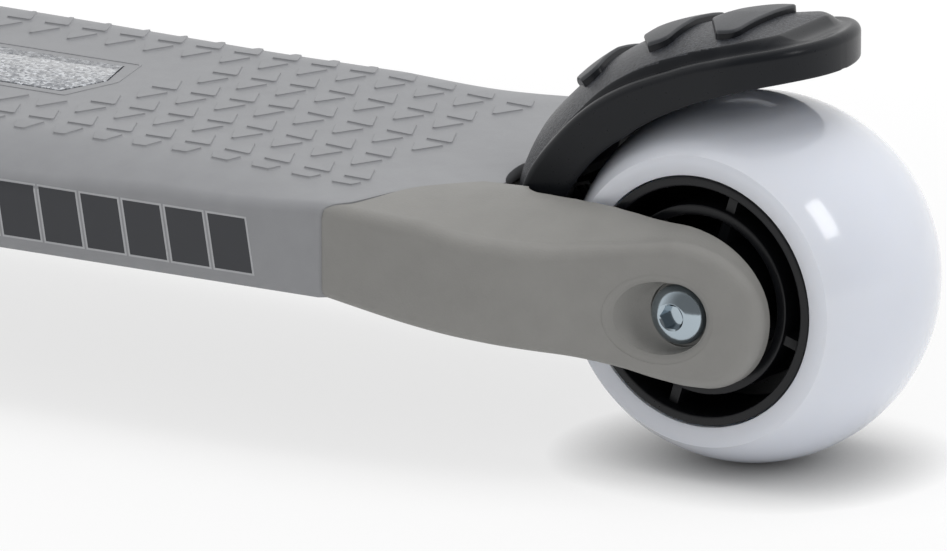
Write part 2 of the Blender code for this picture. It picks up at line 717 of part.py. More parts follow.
def build_rear_wheel(carrier, finishes):
    """Cast tyre on a dished and ribbed core, with a sealed bearing in each side."""
    half = REAR_WHEEL_WIDTH / 2
    edge = math.asin(min(TYRE_CROWN_SHARE * half / rear_r, 0.95))
    crown = [(rear_r * math.cos(a), rear_r * math.sin(a)) for a in np.linspace(-edge, edge, 7)]
    core = HUB_RIM_RADIUS + SEAT_GAP
    shoulder = [(TYRE_SHOULDER_RADIUS + 0.0015, half * 0.96), (TYRE_SHOULDER_RADIUS, half * 0.996)]
    shoulder += [(TYRE_SHOULDER_RADIUS - 0.0018, half), (core, half - CORE_INSET)]
    outline = crown + shoulder + [(r, -y) for r, y in reversed(shoulder)]
    piece("rear_tyre", turned("rear_tyre", outline, 36), finishes["tyre"], carrier, turn=ALONG_Y)

    face = half - CORE_INSET
    ring_face = face - HUB_RING_STEP
    web = HUB_WEB / 2
    seat = BEARING_RADIUS + SEAT_GAP
    boss = seat + BOSS_WALL
    seat_floor = ring_face - 0.0009 - BEARING_WIDTH - SEAT_GAP
    side = [
        (HUB_RIM_RADIUS, face),
        (HUB_RIM_RADIUS - HUB_RIM_WALL, face),
        (HUB_RIM_RADIUS - HUB_RIM_WALL, web),
        (HUB_RING_RADIUS, web),
        (HUB_RING_RADIUS, ring_face),
        (HUB_RING_RADIUS - HUB_RING_WALL, ring_face),
        (HUB_RING_RADIUS - HUB_RING_WALL, web),
        (boss, web),
        (boss, ring_face - 0.0005),
        (seat, ring_face - 0.0005),
        (seat, seat_floor),
        (BEARING_RADIUS - BEARING_LIP, seat_floor),
    ]
    outline = side + [(r, -y) for r, y in reversed(side)]
    hub = piece("rear_hub", turned("rear_hub", outline, 26), finishes["core"], carrier, turn=ALONG_Y)
    rib_reach = HUB_RIM_RADIUS - HUB_RIM_WALL / 2
    rib_face = face - HUB_RIB_STEP
    ribs = []
    for quarter in range(4):
        low_corner = (boss - 0.001, -HUB_RIB_WALL / 2, -rib_face)
        blade = box("rib", low_corner, (rib_reach, HUB_RIB_WALL / 2, rib_face))
        work = bmesh.new()
        work.from_mesh(blade)
        turn = math.radians(90 * quarter - HUB_RIB_ANGLE)
        bmesh.ops.rotate(work, verts=work.verts, cent=(0, 0, 0), matrix=Matrix.Rotation(turn, 3, "Z"))
        work.to_mesh(blade)
        work.free()
        ribs.append(blade)
    join(hub, "hub_ribs", gathered("hub_ribs", ribs), turn=ALONG_Y)

    inner_face = seat_floor + SEAT_GAP
    bearings = {"left": inner_face, "right": -inner_face - BEARING_WIDTH}
    for side_name, low in bearings.items():
        mesh = tube("bearing", INNER_RING_RADIUS + SEAT_GAP, BEARING_RADIUS, low, low + BEARING_WIDTH, 14)
        piece(f"rear_bearing_{side_name}", mesh, finishes["steel"], carrier, turn=ALONG_Y)
    return inner_face


def build_rear_axle(carrier, finishes, inner_face):
    """Barrel and screw through the fork, clamping the inner rings, spacer and washers."""
    bore = AXLE_RADIUS + SEAT_GAP
    for name, low in (("left", inner_face), ("right", -inner_face - BEARING_WIDTH)):
        ring = tube("inner_ring", bore, INNER_RING_RADIUS, low, low + BEARING_WIDTH, 12)
        piece(f"rear_inner_ring_{name}", ring, finishes["steel"], carrier, turn=ALONG_Y)
    spacer_half = inner_face - SEAT_GAP
    spacer = tube("rear_spacer", bore, bore + SPACER_WALL, -spacer_half, spacer_half, 12)
    piece("rear_spacer", spacer, finishes["steel"], carrier, turn=ALONG_Y)
    washer_low = inner_face + BEARING_WIDTH + SEAT_GAP
    washer_high = fork_inner - SEAT_GAP
    for name, low, high in (("left", washer_low, washer_high), ("right", -washer_high, -washer_low)):
        washer = tube("rear_washer", bore, WASHER_RADIUS, low, high, 14)
        piece(f"rear_washer_{name}", washer, finishes["steel"], carrier, turn=ALONG_Y)

    seat = fork_inner + RECESS_FLOOR + SEAT_GAP
    sleeve_end = seat - 0.002
    screw_bore = SCREW_RADIUS + SEAT_GAP
    head = [(r, -z) for r, z in button_head(BOLT_HEAD_RADIUS, BOLT_HEAD_HEIGHT, seat)]
    outline = [(screw_bore, sleeve_end), (AXLE_RADIUS, sleeve_end), (AXLE_RADIUS, -seat), *head]
    outline += [(0, -seat + 0.004), (screw_bore, -seat + 0.004)]
    barrel = turned("rear_axle_barrel", outline, 18)
    piece("rear_axle_barrel", barrel, finishes["zinc"], carrier, turn=ALONG_Y)
    outline = [(0, -seat + 0.012), (SCREW_RADIUS, -seat + 0.012), (SCREW_RADIUS, seat)]
    outline += button_head(BOLT_HEAD_RADIUS, BOLT_HEAD_HEIGHT, seat)
    screw = turned("rear_axle_screw", outline, 18)
    screw = piece("rear_axle_screw", screw, finishes["zinc"], carrier, turn=ALONG_Y)
    cut(screw, "hex_socket", hex_socket("hex_socket", seat), turn=ALONG_Y)


LIP_LOW = (
    (10, -0.5),
    (30, -1.6),
    (38, -2.3),
    (50, -2.4),
    (60, -2),
    (70, -1.3),
    (82, 0.5),
    (90, 2.8),
    (97, 5.2),
    (105.5, 7.3),
    (112, 8.2),
    (116, 8.4),
)
LIP_TOP = (
    (10, 7.5),
    (25, 7.5),
    (40, 6.6),
    (56, 6.3),
    (65, 6.8),
    (75, 8.1),
    (87, 10.5),
    (97, 12),
    (108, 14),
    (116, 16),
)
CREST = (
    (10, 16),
    (20, 17.6),
    (30, 17.1),
    (42, 15.3),
    (52, 14.2),
    (63, 14.2),
    (74, 14.6),
    (84, 15.9),
    (93.5, 18),
    (98, 19),
    (102, 19.3),
    (105, 18.9),
    (108.5, 16.4),
    (110.5, 15.6),
    (116, 16.2),
)
TAIL_REACH_PER_DEGREE = 0.00087


def fender_radius(knots, angle):
    """Distance from the wheel's axis, from knots of (angle in degrees, millimetres beyond the tyre)."""
    return rear_r + smooth_curve(knots, angle) * 0.001


def fender_half_width(angle):
    """The fender's half width: even along the arc, then drawn in to a round tail."""
    u = max((angle - FENDER_TAIL_START) / (FENDER_TAIL_ANGLE - FENDER_TAIL_START), 0)
    return FENDER_HALF_WIDTH * (1 - u ** 2.6) ** 0.75


def crown_radius(angle, across):
    """The crowned top: at the crest in the middle, down to the lip at a share of 1 across."""
    lip, crest = fender_radius(LIP_TOP, angle), fender_radius(CREST, angle)
    return lip + (crest - lip) * (1 - abs(across) ** 2.2)


def polar(angle, radius, y):
    """A point round the rear axle, its angle measured up from straight ahead. Past the top of the
    wheel the fender runs on rearwards, so from there the sections stay upright."""
    if angle > 90:
        return ((90 - angle) * TAIL_REACH_PER_DEGREE, y, radius)
    a = math.radians(angle)
    return (radius * math.cos(a), y, radius * math.sin(a))


def fender_section(angle):
    """The moulding at one angle: side lips whose lower edges slope up inwards with the tyre's crown,
    crowned top, and below it the pad's rib between two hollows. It is solid at its root round the pin
    and at the end of its tail."""
    half = fender_half_width(angle)
    low, lip = fender_radius(LIP_LOW, angle), fender_radius(LIP_TOP, angle)
    shoulder = half * 0.86
    outer = [(half, low), (half, lip - 0.0008), (half * 0.96, lip)]
    outer += [(shoulder * k, crown_radius(angle, k)) for k in (1, 0.75, 0.5, 0.25, 0)]
    wall = min(FENDER_WALL, half * 0.3)
    rib = min(FENDER_RIB_HALF_WIDTH, half * 0.35)
    hollow = smooth_curve([(28, 0), (40, 1)], angle)
    rib_gap = FENDER_ROOT_GAP + (BRAKE_GAP + BRAKE_PAD_THICKNESS * 0.7 - FENDER_ROOT_GAP) * hollow
    rib_face = rear_r + rib_gap
    roof = rib_face + 0.0002 + (crown_radius(angle, 0.4) - FENDER_WALL - rib_face) * hollow
    slope = rib_face + 0.0002 + (crown_radius(angle, 0.72) - FENDER_WALL - rib_face) * hollow
    edge = rib_face + 0.0002 + (lip - FENDER_WALL - rib_face) * hollow
    face = rib_face + (roof - 0.0003 - rib_face) * smooth_curve([(99, 0), (105, 1)], angle)
    inner = [(0, face), (rib, face), (rib + 0.0002, roof), (half * 0.62, slope)]
    inner += [(half - wall, edge), (half - wall, low + FENDER_SKIRT_BEVEL)]
    filled = smooth_curve([(108, 0), (112, 0.97)], angle)
    inner = [(y, low + (r - low) * (1 - filled)) for y, r in inner]
    ring = outer + [(-y, r) for y, r in reversed(outer[:-1])]
    ring += [(-y, r) for y, r in reversed(inner)] + inner[1:]
    return [polar(angle, r, y) for y, r in ring]


def claw(start, end):
    """A raised pad on the fender's crest, blunt in front and drawn to a point behind."""
    rings = []
    for u in (0, 0.12, 0.35, 0.6, 0.8, 1):
        angle = start + (end - start) * u
        half = CLAW_HALF_WIDTH * smooth_curve([(0, 0.86), (0.12, 1), (0.5, 0.75), (0.8, 0.3), (1, 0.12)], u)
        rise = CLAW_HEIGHT * smooth_curve([(0, 0.75), (0.2, 1), (0.8, 0.9), (1, 0.45)], u)
        share = half / (fender_half_width(angle) * 0.86)
        base = crown_radius(angle, share) - 0.0008
        top = crown_radius(angle, 0) + rise
        edge = crown_radius(angle, share) + rise
        ring = [(half, base), (half * 0.97, edge), (half * 0.5, (edge + top) / 2 + 0.0003), (0, top)]
        ring += [(-y, r) for y, r in reversed(ring[:-1])]
        rings.append([polar(angle, r, y) for y, r in ring])
    return lofted("claw", rings)


def pad_pegs(grow):
    """The pad's two pegs, or their sockets, standing out from the wheel along Z."""
    low = rear_r + BRAKE_GAP + BRAKE_PAD_THICKNESS - 0.0005
    high = low + 0.0005 + BRAKE_PEG_LENGTH + grow
    pegs = [rod("peg", BRAKE_PEG_RADIUS + grow, low, high, 12) for _ in range(2)]
    for peg, side in zip(pegs, (-1, 1)):
        for vertex in peg.vertices:
            vertex.co.x += side * BRAKE_PAD_LENGTH / 4
    return gathered("pad_pegs", pegs)


def build_brake_pad(fender, carrier, offset, finishes):
    """Flat steel pad, pressed by two pegs into the rib under the fender. It is square to the wheel."""
    turn = (0, 90 - BRAKE_PAD_ANGLE, 0)
    face = rear_r + BRAKE_GAP
    back = face + BRAKE_PAD_THICKNESS
    half = BRAKE_PAD_LENGTH / 2
    soft = BRAKE_PAD_CHAMFER
    outline = [(-half, back), (-half, face + soft), (soft - half, face)]
    outline += [(-x, z) for x, z in reversed(outline)]
    pad = prism("brake_pad", outline, -FENDER_RIB_HALF_WIDTH, FENDER_RIB_HALF_WIDTH, "Y")
    pad = piece("brake_pad", pad, finishes["steel"], carrier, offset, turn)
    join(pad, "pad_pegs", pad_pegs(0), offset, turn)
    reach = half + SEAT_GAP
    wide = FENDER_RIB_HALF_WIDTH + SEAT_GAP
    seat = box("pad_seat", (-reach, -wide, rear_r), (reach, wide, back + SEAT_GAP))
    cut(fender, "pad_seat", seat, offset, turn)
    cut(fender, "peg_sockets", pad_pegs(SEAT_GAP), offset, turn)


def build_brake(carrier, wheel_frame, finishes):
    """Sprung fender that is trodden down on to the wheel; it turns on a pin across the fork's root."""
    angles = [11, 20, 28, 34, 40, 48, 56, 64, 72, 80, 87, 93, 98, 102, 105, 108.5, 111, 113, 114.4, 115.2]
    offset = (-pin_x, 0, -BRAKE_PIN_ABOVE_AXLE)
    mesh = lofted("brake_fender", [fender_section(a) for a in angles])
    fender = piece("brake_fender", mesh, finishes["brake"], carrier, offset)
    join(fender, "claws", gathered("claws", [claw(*span) for span in CLAW_SPANS]), offset)
    room = BRAKE_SPRING_HALF_LENGTH + 0.0016
    cut(fender, "spring_room", box("spring_room", (-0.0095, -room, -0.012), (0.0125, room, 0.0068)))
    bore_half = FENDER_HALF_WIDTH + RUN_OUT
    bore = rod("pin_bore", BRAKE_PIN_RADIUS + SEAT_GAP, -bore_half, bore_half, 16)
    cut(fender, "pin_bore", bore, turn=ALONG_Y)
    build_brake_pad(fender, carrier, offset, finishes)

    pin_half = FENDER_HALF_WIDTH + BRAKE_PIN_HELD
    pin = rod("brake_pin", BRAKE_PIN_RADIUS, -pin_half, pin_half, 14)
    piece("brake_pin", pin, finishes["steel"], wheel_frame, (pin_x, 0, BRAKE_PIN_ABOVE_AXLE), ALONG_Y)
    piece("brake_spring", brake_spring(), finishes["steel"], wheel_frame, (pin_x, 0, BRAKE_PIN_ABOVE_AXLE))


def wire(name, points, radius, sides=5):
    """A round wire along a line of points, as a tube with flat ends."""
    line = np.array(points, float)
    ahead = np.gradient(line, axis=0)
    ahead /= np.linalg.norm(ahead, axis=1)[:, None]
    across = np.cross(ahead[0], (0.31, 0.74, 0.6))
    rings = []
    for place, along in zip(line, ahead):
        across = across - along * np.dot(across, along)
        across /= np.linalg.norm(across)
        third = np.cross(along, across)
        turns = np.arange(sides) * 2 * math.pi / sides
        rings.append([place + radius * (math.cos(t) * across + math.sin(t) * third) for t in turns])
    return lofted(name, rings)


def least_gap(points, radius, turn_points):
    """The least gap between a wire and its own next turn."""
    line = np.array(points)
    far = np.linalg.norm(line[:, None] - line[None], axis=2)
    apart = np.abs(np.arange(len(line))[:, None] - np.arange(len(line))[None])
    return far[apart >= turn_points * 0.7].min() - 2 * radius


def brake_spring():
    """Torsion spring round the brake pin. Both legs point to the wheel: the lower one rests on the
    well's floor and the upper one lifts the fender."""
    per_turn = 10
    coil = BRAKE_PIN_RADIUS + BRAKE_SPRING_WIRE_RADIUS + 0.0008
    turns = np.linspace(0, BRAKE_SPRING_TURNS, round(BRAKE_SPRING_TURNS * per_turn) + 1)
    start = math.radians(-90)
    rise = (BRAKE_SPRING_HALF_LENGTH - BRAKE_SPRING_WIRE_RADIUS) * 2 / BRAKE_SPRING_TURNS
    y0 = -BRAKE_SPRING_HALF_LENGTH + BRAKE_SPRING_WIRE_RADIUS
    helix = []
    for turn in turns:
        a = start + turn * 2 * math.pi
        helix.append((coil * math.cos(a), y0 + rise * turn, coil * math.sin(a)))
    floor = -BRAKE_WELL_DEPTH + BRAKE_SPRING_WIRE_RADIUS + SEAT_GAP
    low_leg = [(-0.0062, y0 - rise * 0.18, floor), (-0.003, y0 - rise * 0.1, (floor - coil) / 2)]
    roof = 0.0068 - BRAKE_SPRING_WIRE_RADIUS - SEAT_GAP
    y1 = helix[-1][1]
    high_leg = [(-0.0035, y1 + rise * 0.08, coil + 0.0003), (-0.0085, y1 + rise * 0.1, roof)]
    line = low_leg + helix + high_leg
    gap = least_gap(line, BRAKE_SPRING_WIRE_RADIUS, per_turn)
    print("brake spring, least gap to itself (mm):", round(gap * 1000, 2))
    return wire("brake_spring", line, BRAKE_SPRING_WIRE_RADIUS)


def build_head(carrier, head_frame, stem_frame, finishes, neck_end, neck_low):
    """Steering head: a saddle with two lugs round the truck's barrel, wings over the return springs,
    a sleeve on the chassis tongue, and the socket that holds the stem."""
    lug_outer = lug_inner + LUG_THICKNESS
    outline = [(-x, y) for y, x in arc((0, 0), SADDLE_HALF_WIDTH, 180, 360, 11)]
    outline += [(-SADDLE_TOP, SADDLE_HALF_WIDTH), (-SADDLE_TOP, -SADDLE_HALF_WIDTH)]
    saddle = prism("steering_head", outline, -lug_outer, lug_outer)
    head = piece("steering_head", saddle, finishes["frame"], head_frame)

    tip = WING_REACH - WING_TIP_RADIUS
    plan = [(y, s) for s, y in arc((0, tip), WING_TIP_RADIUS, 0, 180, 9)]
    plan += [(y, s) for s, y in arc((0, -tip), WING_TIP_RADIUS, 180, 360, 9)]
    rings = [[(-t, y, s) for y, s in plan] for t in (SADDLE_TOP - WING_THICKNESS, SADDLE_TOP)]
    join(head, "wings", lofted("wings", rings))

    sleeve_rear = neck_end - NECK_OVERLAP
    room = TONGUE_HALF_WIDTH + SEAT_GAP
    low, high = neck_low - SLEEVE_WALL, neck_low + NECK_HEIGHT + SLEEVE_WALL
    side = room + SLEEVE_WALL
    outline = [(sleeve_rear, -side), (neck_end, -side), (WHEELBASE - SLEEVE_FRONT_SETBACK, -SADDLE_HALF_WIDTH)]
    outline += [(x, -y) for x, y in reversed(outline)]
    join(head, "sleeve", prism("sleeve", outline, low, high), carrier=carrier)

    socket = STEM_RADIUS + SEAT_GAP + SOCKET_WALL
    skirt = SOCKET_SKIRT
    profile = [(0, -skirt), (socket + SOCKET_FLARE, -skirt), (socket + SOCKET_FLARE * 0.67, skirt)]
    profile += [(socket, 2 * skirt), (socket, SOCKET_HEIGHT - 0.002), (socket - 0.002, SOCKET_HEIGHT)]
    profile.append((0, SOCKET_HEIGHT))
    join(head, "stem_socket", turned("stem_socket", profile, 26), carrier=stem_frame)

    slot_top = PIVOT_BARREL_RADIUS + 0.0015
    slot_half = WING_REACH + RUN_OUT
    slot = box("barrel_slot", (-slot_top, -slot_half, -lug_inner), (TOOL_REACH, slot_half, lug_inner))
    cut(head, "barrel_slot", slot)
    spring_roof = SADDLE_TOP - WING_THICKNESS + SPRING_SEAT_DEPTH
    rooms = [upright_rod(sign * SPRING_OFFSET, SPRING_ROOM_RADIUS, 0, spring_roof) for sign in (-1, 1)]
    cut(head, "spring_rooms", gathered("spring_rooms", rooms))
    cut(head, "pivot_bore", rod("pivot_bore", PIVOT_RADIUS + SEAT_GAP, -TOOL_REACH, TOOL_REACH, 16))
    low_corner = (sleeve_rear - RUN_OUT, -room, neck_low - SEAT_GAP)
    high_corner = (neck_end + SEAT_GAP, room, neck_low + NECK_HEIGHT + SEAT_GAP)
    cut(head, "tongue_pocket", box("tongue_pocket", low_corner, high_corner), carrier=carrier)
    bore = rod("stem_bore", STEM_RADIUS + SEAT_GAP, STEM_FOOT, SOCKET_HEIGHT + RUN_OUT, 26)
    cut(head, "stem_bore", bore, carrier=stem_frame)
    hole = rod("cross_hole", CROSS_BOLT_RADIUS + SEAT_GAP, -TOOL_REACH, TOOL_REACH, 14)
    cut(head, "cross_hole", hole, (0, 0, SOCKET_HEIGHT / 2), ALONG_Y, stem_frame)

    nut_face = -lug_outer + NUT_SPOT_FACE
    low_corner = (-NUT_ROOM, -NUT_ROOM, nut_face - NUT_ROOM * 1.15)
    cut(head, "nut_room", box("nut_room", low_corner, (TOOL_REACH, NUT_ROOM, nut_face)))

    seat = lug_outer + SEAT_GAP
    nut_seat = nut_face - SEAT_GAP
    bolt = rod("pivot_bolt", PIVOT_RADIUS, nut_seat - PIVOT_NUT_HEIGHT - 0.001, seat + 0.001, 16)
    bolt = piece("pivot_bolt", bolt, finishes["zinc"], head_frame)
    join(bolt, "pivot_head", hex_rod("pivot_head", PIVOT_HEX_FLATS, seat, seat + PIVOT_HEAD_HEIGHT))
    nut = hex_rod("pivot_nut", PIVOT_HEX_FLATS, nut_seat - PIVOT_NUT_HEIGHT, nut_seat)
    nut = piece("pivot_nut", nut, finishes["zinc"], head_frame)
    cut(nut, "nut_bore", rod("nut_bore", PIVOT_RADIUS + SEAT_GAP, -TOOL_REACH, TOOL_REACH, 16))


def upright_rod(offset, radius, low, high):
    """A round rod standing square to the lean axis, beside the pivot, between two heights above it."""
    turns = np.arange(18) * 2 * math.pi / 18
    ring = [(offset + radius * math.cos(t), radius * math.sin(t)) for t in turns]
    return lofted("upright_rod", [[(-height, y, s) for y, s in ring] for height in (low, high)])


def build_truck(truck, finishes):
    """Truck beam on the inclined pivot, its bushes, the front axle bolts and the return springs."""
    half = PIVOT_BARREL_LENGTH / 2
    end = FRONT_TRACK / 2 - FRONT_HUB_WIDTH / 2 - BEAM_END_GAP
    barrel = rod("truck_beam", PIVOT_BARREL_RADIUS, -half, half, 24)
    beam = piece("truck_beam", barrel, finishes["frame"], truck)
    rings = []
    for y in (-end, -end * 0.86, -end * 0.45, -end * 0.2, end * 0.2, end * 0.45, end * 0.86, end):
        narrow = smooth_curve([(0.2, 1), (0.45, 0.9), (0.86, 0.84), (1, 0.9)], abs(y) / end)
        tall, deep = BEAM_HALF_HEIGHT * narrow, BEAM_HALF_DEPTH * narrow
        corners = [(tall, deep * 0.55), (tall * 0.6, deep), (-tall * 0.6, deep), (-tall, deep * 0.55)]
        corners += [(x, -z) for x, z in reversed(corners)]
        rings.append([(x, y, z) for x, z in corners])
    join(beam, "beam_arms", lofted("beam_arms", rings))
    seat = BEAM_HALF_HEIGHT + SPRING_SEAT_RISE
    sides = (-SPRING_OFFSET, SPRING_OFFSET)
    seats = [upright_rod(side, SPRING_RADIUS + SPRING_SEAT_MARGIN, 0.004, seat) for side in sides]
    join(beam, "spring_seats", gathered("spring_seats", seats))
    posts = [upright_rod(side, SPRING_POST_RADIUS, 0.006, seat + SPRING_POST_HEIGHT) for side in sides]
    join(beam, "spring_posts", gathered("spring_posts", posts))
    bush_room = PIVOT_BUSH_RADIUS + SEAT_GAP
    cut(beam, "bush_bore", rod("bush_bore", bush_room, -half - RUN_OUT, half + RUN_OUT, 16))
    spans = ((end - AXLE_SOCKET_DEPTH, end + RUN_OUT), (-end - RUN_OUT, AXLE_SOCKET_DEPTH - end))
    holes = [rod("hole", AXLE_RADIUS + SEAT_GAP, low, high, 14) for low, high in spans]
    cut(beam, "axle_holes", gathered("axle_holes", holes), turn=ALONG_Y)

    shank = PIVOT_RADIUS + SEAT_GAP
    flange = half + SEAT_GAP
    brim = PIVOT_BARREL_RADIUS * PIVOT_FLANGE_SHARE
    outline = [(shank, PIVOT_BUSH_INNER_END), (PIVOT_BUSH_RADIUS, PIVOT_BUSH_INNER_END)]
    outline += [(PIVOT_BUSH_RADIUS, flange), (brim, flange), (brim, flange + PIVOT_BUSH_FLANGE)]
    outline += [(shank, flange + PIVOT_BUSH_FLANGE)]
    piece("pivot_bush_front", turned("pivot_bush", outline, 16), finishes["bush"], truck)
    piece("pivot_bush_rear", turned("pivot_bush", [(r, -z) for r, z in outline], 16), finishes["bush"], truck)

    low = seat + SEAT_GAP + SPRING_WIRE_RADIUS
    high = SADDLE_TOP - WING_THICKNESS + SPRING_SEAT_DEPTH - SEAT_GAP - SPRING_WIRE_RADIUS
    per_turn = 9
    turns = np.linspace(0, SPRING_TURNS, SPRING_TURNS * per_turn + 1)
    for name, sign in (("left", 1), ("right", -1)):
        coil = [
            (
                -(low + (high - low) * t / SPRING_TURNS),
                sign * SPRING_OFFSET + SPRING_RADIUS * math.cos(2 * math.pi * t),
                SPRING_RADIUS * math.sin(2 * math.pi * t),
            )
            for t in turns
        ]
        gap = least_gap(coil, SPRING_WIRE_RADIUS, per_turn)
        print("return spring, least gap between turns (mm):", round(gap * 1000, 2))
        mesh = wire("return_spring", coil, SPRING_WIRE_RADIUS)
        piece(f"return_spring_{name}", mesh, finishes["steel"], truck)


def build_front_wheel(name, sign, truck_axle, wheel, finishes):
    """One front wheel: tyre, pierced core and bearings, and the bolt, rings and washer on the beam."""
    half = FRONT_WHEEL_WIDTH / 2
    core = front_r * FRONT_CORE_SHARE
    bulge = half * FRONT_CROWN_SHARE
    turns = [math.radians(a) for a in (-59, -30, 0, 30, 59)]
    crown = [(front_r - bulge * (1 - math.cos(a)), half * math.sin(a)) for a in turns]
    side = [(front_r - half * FRONT_WALL_SHARE, half), (core + SEAT_GAP, half * 0.92)]
    outline = crown + side + [(r, -y) for r, y in reversed(side)]
    piece(f"front_tyre_{name}", turned("front_tyre", outline, 30), finishes["tyre"], wheel, turn=ALONG_Y)

    hub_half = FRONT_HUB_WIDTH / 2
    seat = BEARING_RADIUS + SEAT_GAP
    inner = hub_half - BEARING_WIDTH
    rim_half = half * FRONT_RIM_SHARE
    web_outer = core - FRONT_RIM_WALL
    web_inner = seat + FRONT_BOSS_FOOT
    outline = [(core, rim_half), (core - FRONT_RIM_WALL * 0.75, rim_half), (web_outer, FRONT_WEB_HALF)]
    outline += [(web_inner, FRONT_WEB_HALF), (seat + FRONT_BOSS_WALL, hub_half), (seat, hub_half)]
    outline += [(seat, inner - SEAT_GAP), (BEARING_RADIUS - BEARING_LIP, inner - SEAT_GAP)]
    outline += [(r, -y) for r, y in reversed(outline)]
    hub = piece(f"front_hub_{name}", turned("front_hub", outline, 24), finishes["core"], wheel, turn=ALONG_Y)
    ring = (web_inner + web_outer) / 2
    hole = (web_outer - web_inner) / 2 - FRONT_SPOKE_MARGIN
    holes = []
    for i in range(FRONT_HUB_HOLES):
        turn = 2 * math.pi * i / FRONT_HUB_HOLES
        mesh = rod("hole", hole, -half, half, 10)
        for vertex in mesh.vertices:
            vertex.co.x += ring * math.cos(turn)
            vertex.co.y += ring * math.sin(turn)
        holes.append(mesh)
    cut(hub, f"hub_holes_{name}", gathered("hub_holes", holes), turn=ALONG_Y)

    shank = AXLE_RADIUS + SEAT_GAP
    for place, low in (("outer", inner), ("inner", -hub_half)):
        low, high = sorted((sign * low, sign * (low + BEARING_WIDTH)))
        mesh = tube("bearing", INNER_RING_RADIUS + SEAT_GAP, BEARING_RADIUS, low, high, 12)
        piece(f"front_bearing_{place}_{name}", mesh, finishes["steel"], wheel, turn=ALONG_Y)
        mesh = tube("inner_ring", shank, INNER_RING_RADIUS, low, high, 12)
        piece(f"front_inner_ring_{place}_{name}", mesh, finishes["steel"], truck_axle, turn=ALONG_Y)
    mesh = tube("front_spacer", shank, shank + SPACER_WALL, SEAT_GAP - inner, inner - SEAT_GAP, 12)
    piece(f"front_spacer_{name}", mesh, finishes["steel"], truck_axle, turn=ALONG_Y)
    low, high = sorted((-sign * (hub_half + SEAT_GAP), -sign * (hub_half + BEAM_END_GAP - SEAT_GAP)))
    mesh = tube("washer", shank, WASHER_RADIUS, low, high, 12)
    piece(f"front_washer_{name}", mesh, finishes["steel"], truck_axle, turn=ALONG_Y)

    seat = hub_half + SEAT_GAP
    tail = -(hub_half + BEAM_END_GAP + AXLE_IN_BEAM)
    outline = [(0, tail), (AXLE_RADIUS, tail), (AXLE_RADIUS, seat)]
    outline += button_head(BOLT_HEAD_RADIUS, BOLT_HEAD_HEIGHT, seat)
    mesh = turned("front_axle_bolt", [(r, sign * z) for r, z in outline], 12)
    bolt = piece(f"front_axle_bolt_{name}", mesh, finishes["zinc"], truck_axle, turn=ALONG_Y)
    cut(bolt, f"front_socket_{name}", hex_socket("front_socket", seat, sign), turn=ALONG_Y)


